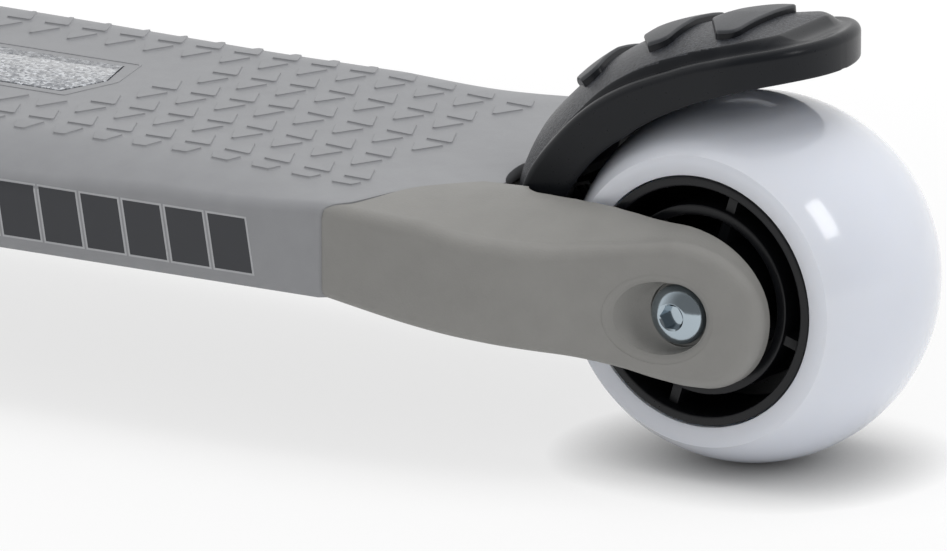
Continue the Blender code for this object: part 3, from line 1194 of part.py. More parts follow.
def build_stem(stem, finishes):
    """Lower tube in the head's socket, its cross bolt, the split collar and the guide bush."""
    tube_top = STEM_TUBE_LENGTH
    mesh = tube("stem_tube", STEM_RADIUS - STEM_WALL, STEM_RADIUS, STEM_FOOT + SEAT_GAP, tube_top, 26)
    lower = piece("stem_tube", mesh, finishes["tube"], stem)
    cross = (0, 0, SOCKET_HEIGHT / 2)
    hole = rod("tube_cross_hole", CROSS_BOLT_RADIUS + SEAT_GAP, -TOOL_REACH, TOOL_REACH, 14)
    cut(lower, "tube_cross_hole", hole, cross, ALONG_Y)
    low_corner = (0, -COLLAR_SLIT / 2, tube_top - COLLAR_HEIGHT - EAR_INSET)
    slit = box("tube_slit", low_corner, (TOOL_REACH, COLLAR_SLIT / 2, tube_top + RUN_OUT))
    cut(lower, "tube_slit", slit)

    reach = STEM_RADIUS + SEAT_GAP * 2 + SOCKET_WALL
    head_face = reach + 0.0002
    tail = -head_face - CROSS_NUT_HEIGHT - 0.001
    outline = [(0, tail), (CROSS_BOLT_RADIUS, tail), (CROSS_BOLT_RADIUS, head_face)]
    outline += button_head(CROSS_HEAD_RADIUS, CROSS_HEAD_HEIGHT, head_face)
    piece("stem_bolt", turned("stem_bolt", outline, 14), finishes["zinc"], stem, cross, ALONG_Y)
    nut = hex_rod("stem_nut", CROSS_NUT_FLATS, -head_face - CROSS_NUT_HEIGHT, -head_face)
    nut = piece("stem_nut", nut, finishes["zinc"], stem, cross, ALONG_Y)
    bore = rod("stem_nut_bore", CROSS_BOLT_RADIUS + SEAT_GAP, -TOOL_REACH, TOOL_REACH, 14)
    cut(nut, "stem_nut_bore", bore, cross, ALONG_Y)

    inner = STEM_RADIUS + SEAT_GAP
    outer = inner + COLLAR_WALL
    low, high = tube_top - COLLAR_HEIGHT, tube_top - SEAT_GAP
    collar = piece("clamp_collar", rod("clamp_collar", outer, low, high, 26), finishes["collar"], stem)
    ear_half = COLLAR_SLIT / 2 + CLAMP_EAR_THICKNESS
    ear_end = inner + CLAMP_EAR_REACH
    ears = box("collar_ears", (inner * 0.5, -ear_half, low + EAR_INSET), (ear_end, ear_half, high - EAR_INSET))
    join(collar, "collar_ears", ears)
    cut(collar, "collar_bore", rod("collar_bore", inner, low - RUN_OUT, high + RUN_OUT, 26))
    low_corner = (0, -COLLAR_SLIT / 2, low - RUN_OUT)
    slit = box("collar_slit", low_corner, (ear_end + RUN_OUT, COLLAR_SLIT / 2, high + RUN_OUT))
    cut(collar, "collar_slit", slit)
    bolt_x = ear_end - EAR_HOLE_SETBACK
    bolt_z = (low + high) / 2
    bolt_place = (bolt_x, 0, bolt_z)
    hole = rod("collar_hole", CLAMP_BOLT_RADIUS + SEAT_GAP, -TOOL_REACH, TOOL_REACH, 14)
    cut(collar, "collar_hole", hole, bolt_place, ALONG_Y)

    tail = -ear_half - SEAT_GAP
    pivot_y = ear_half + SEAT_GAP + LEVER_HUB_RADIUS
    bolt = rod("clamp_bolt", CLAMP_BOLT_RADIUS, tail - CLAMP_NUT_HEIGHT - 0.001, pivot_y, 14)
    bolt = piece("clamp_bolt", bolt, finishes["zinc"], stem, bolt_place, ALONG_Y)
    margin = CLAMP_BARREL_MARGIN
    barrel_half = LEVER_HEIGHT / 2 - margin
    barrel = rod("clamp_barrel", CLAMP_BOLT_RADIUS + margin, -barrel_half, barrel_half, 14)
    join(bolt, "clamp_barrel", barrel, (bolt_x, pivot_y, bolt_z))
    nut = hex_rod("clamp_nut", CLAMP_NUT_FLATS, tail - CLAMP_NUT_HEIGHT, tail)
    nut = piece("clamp_nut", nut, finishes["zinc"], stem, bolt_place, ALONG_Y)
    bore = rod("clamp_nut_bore", CLAMP_BOLT_RADIUS + SEAT_GAP, -TOOL_REACH, TOOL_REACH, 14)
    cut(nut, "clamp_nut_bore", bore, bolt_place, ALONG_Y)

    bore = UPPER_TUBE_RADIUS + SEAT_GAP
    skirt = STEM_RADIUS - STEM_WALL - SEAT_GAP
    foot, seat, rim = tube_top - GUIDE_BUSH_LENGTH, tube_top + SEAT_GAP, tube_top + GUIDE_BUSH_RIM
    outline = [(bore, foot), (skirt, foot), (skirt, seat), (outer - 0.001, seat)]
    outline += [(outer - 0.002, rim), (bore, rim)]
    bush = piece("guide_bush", turned("guide_bush", outline, 26), finishes["bush"], stem)
    low_corner = (0, -GUIDE_BUSH_SLIT / 2, low - RUN_OUT)
    slit = box("bush_slit", low_corner, (TOOL_REACH, GUIDE_BUSH_SLIT / 2, rim + RUN_OUT))
    cut(bush, "bush_slit", slit)
    return bolt_x, pivot_y, bolt_z


def build_lever(pivot, finishes, bolt_x, pivot_y):
    """Quick-release lever: a hub round the clamp bolt's barrel and an arm that lies along the collar."""
    half = LEVER_HEIGHT / 2
    lever = piece("clamp_lever", rod("clamp_lever", LEVER_HUB_RADIUS, -half, half, 18), finishes["lever"], pivot)
    inner = STEM_RADIUS + SEAT_GAP + COLLAR_WALL + LEVER_CLEARANCE
    begin = math.degrees(math.atan2(pivot_y, bolt_x))
    outer_arc = arc((0, 0), inner + LEVER_THICKNESS, begin, LEVER_END_ANGLE, 9)
    inner_arc = arc((0, 0), inner, LEVER_END_ANGLE - 6, begin + 4, 9)
    flick = [(x - LEVER_FLICK, y - 0.001) for x, y in (outer_arc[-1], inner_arc[0])]
    outline = outer_arc + flick + inner_arc
    blade = prism("lever_blade", [(x - bolt_x, y - pivot_y) for x, y in outline], -half, half)
    join(lever, "lever_blade", blade)
    radius = CLAMP_BOLT_RADIUS + CLAMP_BARREL_MARGIN + SEAT_GAP
    cut(lever, "lever_bore", rod("lever_bore", radius, -TOOL_REACH, TOOL_REACH, 14))
    room = CLAMP_BOLT_RADIUS + 2 * SEAT_GAP
    reach = LEVER_HUB_RADIUS + 0.002
    cut(lever, "bolt_room", box("bolt_room", (-room, -reach, -room), (reach, 0, room)))
    cut(lever, "bolt_swing", box("bolt_swing", (0, -0.001, -room), (reach, LEVER_HUB_RADIUS * 0.94, room)))


def build_handlebar(slide, finishes, bar_height):
    """Upper tube with the crossbar through a tee, and the two grips."""
    low = STEM_TUBE_LENGTH - UPPER_TUBE_OVERLAP
    bar_half = HANDLEBAR_WIDTH / 2 - GRIP_END_WALL - SEAT_GAP
    bar = piece("handlebar", rod("handlebar", UPPER_TUBE_RADIUS, low, bar_height, 24), finishes["tube"], slide)
    top = (0, 0, bar_height)
    tee = UPPER_TUBE_RADIUS + TEE_WALL
    mouth = BAR_RADIUS + TEE_WALL / 2
    outline = [(0, -TEE_HALF_LENGTH), (mouth, -TEE_HALF_LENGTH), (tee, -TEE_HALF_LENGTH * 0.8)]
    outline += [(r, -z) for r, z in reversed(outline)]
    join(bar, "tee", turned("tee", outline, 24), top, ALONG_Y)
    join(bar, "crossbar", rod("crossbar", BAR_RADIUS, -bar_half, bar_half, 20), top, ALONG_Y)
    hollow_top = bar_height - tee - BAR_WALL
    cut(bar, "tube_hollow", rod("tube_hollow", UPPER_TUBE_RADIUS - BAR_WALL, low - RUN_OUT, hollow_top, 24))
    hollow_half = bar_half + RUN_OUT
    hollow = rod("bar_hollow", BAR_RADIUS - BAR_WALL, -hollow_half, hollow_half, 20)
    cut(bar, "bar_hollow", hollow, top, ALONG_Y)
    bore = BAR_RADIUS + SEAT_GAP
    start = TEE_HALF_LENGTH + GRIP_BESIDE_TEE
    end = HANDLEBAR_WIDTH / 2 - start
    outline = [
        (bore, 0),
        (GRIP_RADIUS + GRIP_COLLAR_WIDTH, 0),
        (GRIP_RADIUS + GRIP_COLLAR_WIDTH, 0.003),
        (GRIP_RADIUS - 0.0015, 0.007),
        (GRIP_RADIUS, end * 0.5),
        (GRIP_RADIUS - 0.001, end * 0.85),
        (GRIP_RADIUS + 0.001, end - 0.004),
        (GRIP_RADIUS - 0.001, end),
        (0, end),
        (0, end - GRIP_END_WALL),
        (bore, end - GRIP_END_WALL),
    ]
    for name, sign in (("left", 1), ("right", -1)):
        mesh = turned("grip", [(r, sign * (start + z)) for r, z in outline], 16)
        piece(f"grip_{name}", mesh, finishes["grip"], slide, top, ALONG_Y)


def build_scooter():
    """Every piece, grouped on the frames that carry it."""
    for leftover in list(bpy.data.objects):
        bpy.data.objects.remove(leftover)
    finishes = {
        "cover": finish_material("moulded deck cover, cool grey", (0.27, 0.27, 0.275), 0.55),
        "frame": finish_material("textured nylon, warm grey", (0.2, 0.19, 0.175), 0.62),
        "glitter": finish_material("glitter foil under lacquer", (0.42, 0.43, 0.45), 0.3, 0.6),
        "brake": finish_material("moulded black nylon", (0.018, 0.018, 0.02), 0.42),
        "core": finish_material("moulded black wheel core", (0.012, 0.012, 0.013), 0.35),
        "tyre": finish_material("cast milky polyurethane", (0.68, 0.71, 0.8), 0.22),
        "zinc": finish_material("blue zinc plated steel", (0.58, 0.62, 0.66), 0.28, 1.0),
        "steel": finish_material("bearing steel", (0.55, 0.55, 0.56), 0.3, 1.0),
        "bush": finish_material("acetal bush", (0.05, 0.05, 0.05), 0.4),
        "tube": finish_material("powder coated tube", (0.035, 0.035, 0.038), 0.4),
        "collar": finish_material("anodised aluminium collar", (0.06, 0.06, 0.065), 0.35, 0.8),
        "lever": finish_material("moulded black lever", (0.02, 0.02, 0.022), 0.4),
        "grip": finish_material("soft black grip rubber", (0.016, 0.016, 0.017), 0.75),
    }
    root = frame_at("rear_axle_foot", location=(rear_axle_x, 0, 0))
    build_deck(root, finishes)
    neck_end, neck_low = build_chassis(root, finishes)

    wheel_frame = frame_at("rear_axle", root, (0, 0, rear_r))
    rear_spin = frame_at("rear_wheel_spin", root, (0, 0, rear_r))
    inner_face = build_rear_wheel(rear_spin, finishes)
    build_rear_axle(wheel_frame, finishes, inner_face)
    brake_hinge = frame_at("brake_hinge", root, (pin_x, 0, pin_z))
    build_brake(brake_hinge, wheel_frame, finishes)

    pitch = math.radians(LEAN_AXIS_PITCH)
    head_turn = (0, 90 - LEAN_AXIS_PITCH, 0)
    pivot = (WHEELBASE, 0, front_r)
    head_frame = frame_at("head_frame", root, pivot, head_turn)
    truck = frame_at("truck_lean", root, pivot, head_turn)
    stem_foot = (WHEELBASE - SADDLE_TOP * math.sin(pitch), 0, front_r + SADDLE_TOP * math.cos(pitch))
    stem = frame_at("stem_frame", root, stem_foot, (0, -STEM_TILT, 0))
    build_head(root, head_frame, stem, finishes, neck_end, neck_low)
    build_truck(truck, finishes)
    for name, sign in (("left", 1), ("right", -1)):
        place = (WHEELBASE, sign * FRONT_TRACK / 2, front_r)
        axle = frame_at(f"front_axle_{name}", root, place)
        spin = frame_at(f"front_wheel_spin_{name}", root, place)
        build_front_wheel(name, sign, axle, spin, finishes)

    bolt_x, pivot_y, bolt_z = build_stem(stem, finishes)
    lever_pivot = frame_at("clamp_lever_pivot", stem, (bolt_x, pivot_y, bolt_z))
    build_lever(lever_pivot, finishes, bolt_x, pivot_y)
    slide = frame_at("handlebar_slide", stem)
    bar_height = (HANDLEBAR_HEIGHT - stem_foot[2]) / math.cos(math.radians(STEM_TILT))
    build_handlebar(slide, finishes, bar_height)


build_scooter()
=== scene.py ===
import json
import math

import bmesh
import bpy
import numpy as np
from mathutils import Matrix, Vector


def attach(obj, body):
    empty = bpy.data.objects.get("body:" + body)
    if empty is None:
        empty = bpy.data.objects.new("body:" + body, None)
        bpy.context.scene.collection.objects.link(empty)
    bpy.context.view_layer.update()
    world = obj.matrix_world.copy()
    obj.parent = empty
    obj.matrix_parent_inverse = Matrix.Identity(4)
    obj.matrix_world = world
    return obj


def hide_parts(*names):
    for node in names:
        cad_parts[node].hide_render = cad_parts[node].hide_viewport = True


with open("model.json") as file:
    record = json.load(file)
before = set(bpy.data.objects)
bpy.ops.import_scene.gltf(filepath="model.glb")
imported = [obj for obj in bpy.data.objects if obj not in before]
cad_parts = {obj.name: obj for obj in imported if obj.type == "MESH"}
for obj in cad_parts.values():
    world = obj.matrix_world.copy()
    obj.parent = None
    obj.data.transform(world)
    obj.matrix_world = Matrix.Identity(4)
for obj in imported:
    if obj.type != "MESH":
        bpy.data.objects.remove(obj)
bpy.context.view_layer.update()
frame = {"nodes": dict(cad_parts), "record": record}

rearAxleX = -0.235    # shapes of the rear half are written from the rear axle's foot point
wheelR = 0.040
seatGap = 0.0003      # between two pieces that seat on each other
print("frame loaded:", len(frame["nodes"]), "nodes")


# small tools for surfaces

def smoothCurve(knots, at):
    # value on a smooth curve through (place, value) knots: cubic pieces whose slope at a knot is the
    # harmonic mean of the chords beside it, and level at a peak, so it never overshoots
    x, y = np.array(knots, float).T
    at = np.clip(np.asarray(at, float), x[0], x[-1])
    chord = np.diff(y) / np.diff(x)
    a, b = chord[:-1], chord[1:]
    same = a * b > 0
    mid = np.where(same, 2 * a * b / np.where(same, a + b, 1), 0)
    slope = np.concatenate([chord[:1], mid, chord[-1:]])
    i = np.clip(np.searchsorted(x, at, side="right") - 1, 0, len(chord) - 1)
    h = x[i + 1] - x[i]
    t = (at - x[i]) / h
    return (y[i] * (1 + 2 * t) * (1 - t) ** 2 + y[i + 1] * t * t * (3 - 2 * t)
            + h * (slope[i] * t * (1 - t) ** 2 - slope[i + 1] * t * t * (1 - t)))


def gridFaces(rows, cols, wrapRows=False, wrapCols=False):
    # four-sided faces of a grid whose points are stored row after row
    i = np.arange(rows if wrapRows else rows - 1)[:, None]
    j = np.arange(cols if wrapCols else cols - 1)[None, :]
    a, b = i * cols + j, i * cols + (j + 1) % cols
    c, d = (i + 1) % rows * cols + (j + 1) % cols, (i + 1) % rows * cols + j
    return np.stack([a, b, c, d], -1).reshape(-1, 4).tolist()


def softened(points, radius, steps=5, closed=True):
    # an outline whose corners are turned into arcs: each arc touches both sides of its corner and takes up
    # less than half of either; a corner that is nearly straight stays a point
    nearlyStraight = 1.56
    mostOfSide = 0.49
    p = np.array(points, float)
    count = len(p)
    radii = np.broadcast_to(np.array(radius, float), count)
    out = []
    for i in range(count):
        if (not closed and i in (0, count - 1)) or radii[i] < 1e-7:
            out.append(p[i])
            continue
        u, v = p[i - 1] - p[i], p[(i + 1) % count] - p[i]
        lu, lv = np.linalg.norm(u), np.linalg.norm(v)
        u, v = u / lu, v / lv
        half = math.acos(np.clip(u @ v, -1, 1)) / 2
        if half > nearlyStraight:
            out.append(p[i])
            continue
        reach = min(radii[i] / math.tan(half), mostOfSide * lu, mostOfSide * lv)
        r = reach * math.tan(half)
        centre = p[i] + (u + v) / np.linalg.norm(u + v) * r / math.sin(half)
        s, e = (p[i] + u * reach - centre) / r, (p[i] + v * reach - centre) / r
        w = math.acos(np.clip(s @ e, -1, 1))
        for t in np.linspace(0, 1, steps):
            out.append(centre + r * (math.sin((1 - t) * w) * s + math.sin(t * w) * e) / math.sin(w))
    return np.array(out)


def turned(outline, segments):
    # a closed outline of (radius, height) turned about Z
    a = np.arange(segments) * 2 * math.pi / segments
    r, z = np.array(outline, float).T
    heights = np.broadcast_to(z, (segments, len(z)))
    grid = np.stack([np.outer(np.cos(a), r), np.outer(np.sin(a), r), heights], -1)
    return grid.reshape(-1, 3), gridFaces(segments, len(r), True, True)


def skinned(rings):
    # closed rings of equally many points, skinned one after the other, with a flat cap at each end
    rings = np.asarray(rings, float)
    n, m = rings.shape[:2]
    faces = gridFaces(n, m, False, True) + [list(range(m))[::-1], list(range((n - 1) * m, n * m))]
    return rings.reshape(-1, 3), faces


def prism(outline, low, high):
    # a flat outline given height along Z
    flat = np.array(outline, float)
    return skinned([np.c_[flat, np.full(len(flat), z)] for z in (low, high)])


def rectangle(x0, y0, x1, y1):
    # four corners, counter-clockwise
    return [(x0, y0), (x1, y0), (x1, y1), (x0, y1)]


def slab(low, high):
    # a box between two opposite corners
    return prism(rectangle(low[0], low[1], high[0], high[1]), low[2], high[2])


def disc(radius, count):
    # points round a circle
    a = np.arange(count) * 2 * math.pi / count
    return np.c_[radius * np.cos(a), radius * np.sin(a)]


def rod(radius, sides, reach, place):
    # a round bar as long on either side of its place, as a tool for a hole
    return placed(prism(disc(radius, sides), -reach, reach), place)


def joined(*parts):
    # several (points, faces) pairs as one
    points, faces, start = [], [], 0
    for p, f in parts:
        points.append(np.asarray(p, float))
        faces += [[i + start for i in face] for face in f]
        start += len(p)
    return np.concatenate(points), faces


def placed(part, matrix):
    # points moved by a 4 x 4 matrix
    m = np.array(matrix, float)
    return part[0] @ m[:3, :3].T + m[:3, 3], part[1]


def addObject(name, data):
    # an object in the scene's own collection
    made = bpy.data.objects.new(name, data)
    bpy.context.scene.collection.objects.link(made)
    return made


def meshOf(name, part):
    # a mesh whose doubled points are merged and whose faces point outwards
    mergeWithin = 2e-6
    mesh = bpy.data.meshes.new(name)
    mesh.from_pydata(np.asarray(part[0]).tolist(), [], part[1])
    work = bmesh.new()
    work.from_mesh(mesh)
    bmesh.ops.remove_doubles(work, verts=work.verts, dist=mergeWithin)
    bmesh.ops.recalc_face_normals(work, faces=work.faces)
    work.to_mesh(mesh)
    work.free()
    return mesh


def makePiece(name, part, finish, body, nodes=(), crease=32, bevel=0.0, tools=(), bevelAngle=40):
    # a finished piece: tools are (operation, part) pairs for Boolean changes, a bevel softens what is left
    made = addObject(name, meshOf(name, part))
    helpers = []
    for k, (operation, tool) in enumerate(tools):
        helper = addObject(f"{name}Tool{k}", meshOf(f"{name}Tool{k}", tool))
        change = made.modifiers.new(f"change{k}", "BOOLEAN")
        change.operation, change.object, change.solver = operation, helper, "EXACT"
        helpers.append(helper)
    if bevel:
        soft = made.modifiers.new("softEdges", "BEVEL")
        soft.width, soft.segments, soft.limit_method = bevel, 2, "ANGLE"
        soft.angle_limit, soft.harden_normals = math.radians(bevelAngle), False
    if made.modifiers:
        graph = bpy.context.evaluated_depsgraph_get()
        result = bpy.data.meshes.new_from_object(made.evaluated_get(graph))
        made.modifiers.clear()
        made.data = result
        result.name = name
        for helper in helpers:
            bpy.data.objects.remove(helper)
    made.data.shade_smooth()
    made.data.set_sharp_from_angle(angle=math.radians(crease))
    made.data.materials.clear()
    made.data.materials.append(finish)
    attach(made, body)
    if nodes:
        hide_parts(*nodes)
    return made


def secondFinish(made, finish, test):
    # faces whose centre passes the test, given as arrays of x, y and z, take another finish
    made.data.materials.append(finish)
    count = len(made.data.polygons)
    centres = np.empty(count * 3)
    made.data.polygons.foreach_get("center", centres)
    x, y, z = centres.reshape(-1, 3).T
    chosen = np.where(test(x, y, z), 1, 0).astype(np.int32)
    made.data.polygons.foreach_set("material_index", chosen)
    print(made.name, "has", int(chosen.sum()), "faces in", finish.name)


layOver = Matrix.Rotation(math.radians(-90), 4, "X")    # lays a piece turned about Z along Y


def alongY(x, z, y=0.0):
    # a place for a piece turned about Z, laid along the wheels' axle direction
    return Matrix.Translation((x, y, z)) @ layOver


# finishes

def linear(hexColour):
    # an sRGB hex colour as linear red, green, blue, alpha
    parts = [int(hexColour[i:i + 2], 16) / 255 for i in (1, 3, 5)]
    return [c / 12.92 if c <= 0.04045 else ((c + 0.055) / 1.055) ** 2.4 for c in parts] + [1.0]


def node(tree, kind, links=None, values=None, **properties):
    # adds one node with its properties, its sockets' values and the outputs linked to its sockets
    made = tree.nodes.new(kind)
    for key, value in properties.items():
        setattr(made, key, value)
    for key, value in (values or {}).items():
        made.inputs[key].default_value = value
    for key, output in (links or {}).items():
        tree.links.new(output, made.inputs[key])
    return made


def finishOf(name, colour, roughness, metallic=0.0, vary=0.03, mottle=0.006, grain=0.0004,
             grainDepth=0.00003, roughVary=0.06, coat=0.0, sockets=None):
    # a moulded or coated surface: slow colour mottling, fine grain as bump, and a roughness that wanders;
    # mottle and grain are the real sizes of the blotches and of one grain, in metres
    made = bpy.data.materials.new(name)
    made.use_nodes = True
    tree = made.node_tree
    shader = tree.nodes["Principled BSDF"]
    coords = node(tree, "ShaderNodeTexCoord").outputs["Object"]
    slow = node(tree, "ShaderNodeTexNoise", {"Vector": coords}, {"Scale": 1 / mottle, "Detail": 3.0})
    fine = node(tree, "ShaderNodeTexNoise", {"Vector": coords}, {"Scale": 1 / grain, "Detail": 2.0})
    base = linear(colour)[:3]
    light = [min(1, c * (1 + vary)) for c in base] + [1.0]
    dark = [c * (1 - vary) for c in base] + [1.0]
    spread = node(tree, "ShaderNodeMapRange", {"Value": slow.outputs[0]}, {"From Min": 0.3, "From Max": 0.7})
    mix = node(tree, "ShaderNodeMix", {"Factor": spread.outputs[0]}, {6: dark, 7: light}, data_type="RGBA")
    tree.links.new(mix.outputs[2], shader.inputs["Base Color"])
    limits = {"To Min": max(0, roughness - roughVary), "To Max": min(1, roughness + roughVary)}
    rough = node(tree, "ShaderNodeMapRange", {"Value": fine.outputs[0]}, limits)
    tree.links.new(rough.outputs[0], shader.inputs["Roughness"])
    if grainDepth:
        relief = {"Strength": 1.0, "Distance": grainDepth}
        bump = node(tree, "ShaderNodeBump", {"Height": fine.outputs[0]}, relief)
        tree.links.new(bump.outputs[0], shader.inputs["Normal"])
    for key, value in {"Metallic": metallic, "Coat Weight": coat, **(sockets or {})}.items():
        shader.inputs[key].default_value = value
    return made


def glitterOf(name, dark, light, flake):
    # foil chips under lacquer: each cell of a Voronoi pattern has its own brightness and its own tilt,
    # so that a few of them flash white while others stay dark
    made = finishOf(name, dark, 0.28, metallic=0.6, coat=0.6, grainDepth=0.0)
    tree = made.node_tree
    shader = tree.nodes["Principled BSDF"]
    coords = node(tree, "ShaderNodeTexCoord").outputs["Object"]
    cells = node(tree, "ShaderNodeTexVoronoi", {"Vector": coords}, {"Scale": 1 / flake}).outputs["Color"]
    parts = node(tree, "ShaderNodeSeparateColor", {"Color": cells})
    share = node(tree, "ShaderNodeMapRange", {"Value": parts.outputs[0]}, {"From Min": 0.45})
    mix = node(tree, "ShaderNodeMix", {"Factor": share.outputs[0]}, {6: linear(dark), 7: linear(light)},
               data_type="RGBA")
    tree.links.new(mix.outputs[2], shader.inputs["Base Color"])
    most = 0.35    # how far a chip's normal is pushed each way
    tilt = node(tree, "ShaderNodeVectorMath", {0: cells}, {1: (2 * most,) * 3, 2: (-most,) * 3},
                operation="MULTIPLY_ADD")
    normal = node(tree, "ShaderNodeNewGeometry").outputs["Normal"]
    lean = node(tree, "ShaderNodeVectorMath", {0: normal, 1: tilt.outputs[0]}, operation="ADD")
    unit = node(tree, "ShaderNodeVectorMath", {0: lean.outputs[0]}, operation="NORMALIZE")
    tree.links.new(unit.outputs[0], shader.inputs["Normal"])
    return made


# satin moulded PP: even cool grey, a soft broad sheen
coverGrey = finishOf("moulded polypropylene, cool grey", "#939497", 0.5, grain=0.0005, grainDepth=0.00001)
# glass-filled nylon: a little warmer, spark-eroded grain that breaks up the sheen
nylonGrey = finishOf("glass-filled nylon, warm grey", "#8C8B88", 0.52, grain=0.00045, grainDepth=0.00005)
# nylon from a polished mould: deep black with narrow soft highlights along its edges
nylonBlack = finishOf("moulded nylon, black", "#181A1E", 0.3, grain=0.0006, grainDepth=0.000006,
                      sockets={"Specular IOR Level": 0.22})
# the same nylon from a coarsely etched mould: charcoal with pale and dark specks, on the fender's crown
nylonGrained = finishOf("moulded nylon, black, coarse grain", "#2F3136", 0.4, vary=0.75, mottle=0.0006,
                        grain=0.0005, grainDepth=0.0002, roughVary=0.1, sockets={"Specular IOR Level": 0.45})
# the same nylon, finely etched: a dull dark grey that catches the light from above, on the scales' tops
nylonEtched = finishOf("moulded nylon, black, fine etched grain", "#3A3C40", 0.45, vary=0.06, grain=0.0004,
                       grainDepth=0.00002, roughVary=0.08, sockets={"Specular IOR Level": 0.5})
# wheel core: black that swallows light between its rings, with thin gleams on their edges
coreBlack = finishOf("moulded wheel core, black", "#141518", 0.3, grain=0.0006, grainDepth=0.00001,
                     sockets={"Specular IOR Level": 0.3})
# cast polyurethane: light goes into it and comes back milky and a little blue, under a clear gloss
tyreMilky = finishOf("cast polyurethane, milky", "#E0E4EE", 0.12, vary=0.01, mottle=0.02, grain=0.003,
                     grainDepth=0.0, roughVary=0.03, coat=0.3,
                     sockets={"Subsurface Weight": 0.35, "Subsurface Scale": 0.012,
                              "Subsurface Radius": (0.8, 0.9, 1.0)})
# blue passivated zinc: a cool bright metal that mirrors the studio softly
zincBlue = finishOf("blue zinc plate", "#A9B5BD", 0.14, metallic=1.0, grain=0.0005, grainDepth=0.000004)
# ground steel: neutral grey metal, satin
steelGround = finishOf("ground bearing steel", "#B9BBBE", 0.26, metallic=1.0, grain=0.0004,
                       grainDepth=0.000003)
# phosphated spring steel: matt black without grain
springBlack = finishOf("spring steel, black phosphate", "#17181A", 0.45, grainDepth=0.0)
# acetal: dark grey with a waxy sheen
acetalBlack = finishOf("acetal bush, black", "#2B2B2D", 0.36)
# powder coat: satin black with a faint orange peel
tubeBlack = finishOf("powder coat, satin black", "#2A2B2E", 0.4, grain=0.0007, grainDepth=0.00002)
# dyed anodising: charcoal that still gleams as metal
collarBlack = finishOf("anodised aluminium, black", "#3A3B3F", 0.3, metallic=0.85, grain=0.0003,
                       grainDepth=0.000003)
# nylon lever: plain satin black
leverBlack = finishOf("moulded lever, black", "#222326", 0.4)
# soft rubber: black that stays dull from every side
gripBlack = finishOf("soft grip rubber, black", "#1E1F21", 0.75, grain=0.0006, grainDepth=0.00003)
# printing ink: flat even tones, smoother than the moulding under them
printDark = finishOf("pad print ink, near black", "#2E3035", 0.42, grainDepth=0.0)
printPale = finishOf("pad print ink, pale grey", "#B4B5B8", 0.45, grainDepth=0.0)
# foil chips: grey with single chips that flash white; a chip is drawn 0.7 mm wide, coarser than a real one,
# so that it shows
glitterFoil = glitterOf("glitter foil under lacquer", "#7C7F85", "#D8DCE2", 0.0007)

slotFinish = {"cover": coverGrey, "frame": nylonGrey, "glitter": glitterFoil, "brake": nylonBlack,
              "core": coreBlack, "tyre": tyreMilky, "zinc": zincBlue, "steel": steelGround,
              "bush": acetalBlack, "tube": tubeBlack, "collar": collarBlack, "lever": leverBlack,
              "grip": gripBlack}
for entry in frame["record"]["subparts"]:
    mesh = frame["nodes"][entry["node"]].data
    mesh.materials.clear()
    mesh.materials.append(slotFinish[entry["material_slot"]])
for name in ("brake_spring", "brake_pin"):
    frame["nodes"][name].data.materials[0] = springBlack
print("finishes made:", len(slotFinish))


# deck cover

deck = {"seamX": 0.076, "frontX": 0.352, "height": 0.0603, "halfWidth": 0.059, "seamHalf": 0.054,
        "noseHalf": 0.036, "skirtLow": 0.0368, "wall": 0.0028, "rearDrop": 0.0024, "noseDrop": 0.0012,
        "shoulder": 0.019, "shoulderDrop": 0.0062, "leastEdge": 0.0006, "notchHalf": 0.0200,
        "notchDepth": 0.0055, "tongue": 0.026,
        # along the cover by its share, 0 at the seam and 1 at the front
        "wide": [(0, 0), (0.25, 0.4), (0.6, 1), (0.8, 0.9), (0.9, 0.45), (1, 0)],
        "rearFall": [(-0.1, 1), (0, 0.85), (0.15, 0)],
        "noseFall": [(0.93, 0), (0.97, 0.3), (1, 1)],
        "shoulderFall": [(0, 0.1), (0.1, 0.55), (0.19, 0.75), (0.29, 1), (0.8, 1), (1, 0.2)],
        "edge": [(0, 0.003), (0.3, 0.0045), (1, 0.0045)],
        # across the cover's rear edge by the share of the way out
        "notchLine": [(0, 1), (0.3, 0.95), (0.6, 0.72), (0.85, 0.36), (1, 0)],
        "seamShare": [(0, 1), (0.2, 0.7), (0.45, 0.43), (0.75, 0.28), (0.88, 0.2), (1, 0)]}


def deckShare(x):
    # how far along the cover a place lies
    return (x - deck["seamX"]) / (deck["frontX"] - deck["seamX"])


def deckHalfWidth(x):
    # from the half width at the seam, or past u = 0.6 from the one at the nose, out to the widest part
    u = deckShare(x)
    base = np.where(u < 0.6, deck["seamHalf"], deck["noseHalf"])
    return base + (deck["halfWidth"] - base) * smoothCurve(deck["wide"], u)


def deckTop(x):
    # level, with a fall towards the fork and a small one at the nose
    u = deckShare(x)
    return (deck["height"] - deck["rearDrop"] * smoothCurve(deck["rearFall"], u)
            - deck["noseDrop"] * smoothCurve(deck["noseFall"], u))


def shoulderDrop(x):
    # how far the shoulder falls from the level middle to the rounded edge
    return deck["shoulderDrop"] * smoothCurve(deck["shoulderFall"], deckShare(x))


def seamLine(y):
    # how far behind the seam's side corner the cover's rear edge lies
    notch, side = deck["notchHalf"], deck["seamHalf"]
    across = np.abs(y)
    inner = deck["tongue"] - deck["notchDepth"] * smoothCurve(deck["notchLine"], across / notch)
    outer = deck["tongue"] * smoothCurve(deck["seamShare"], (across - notch) / (side - notch))
    return np.where(across <= notch, inner, outer)


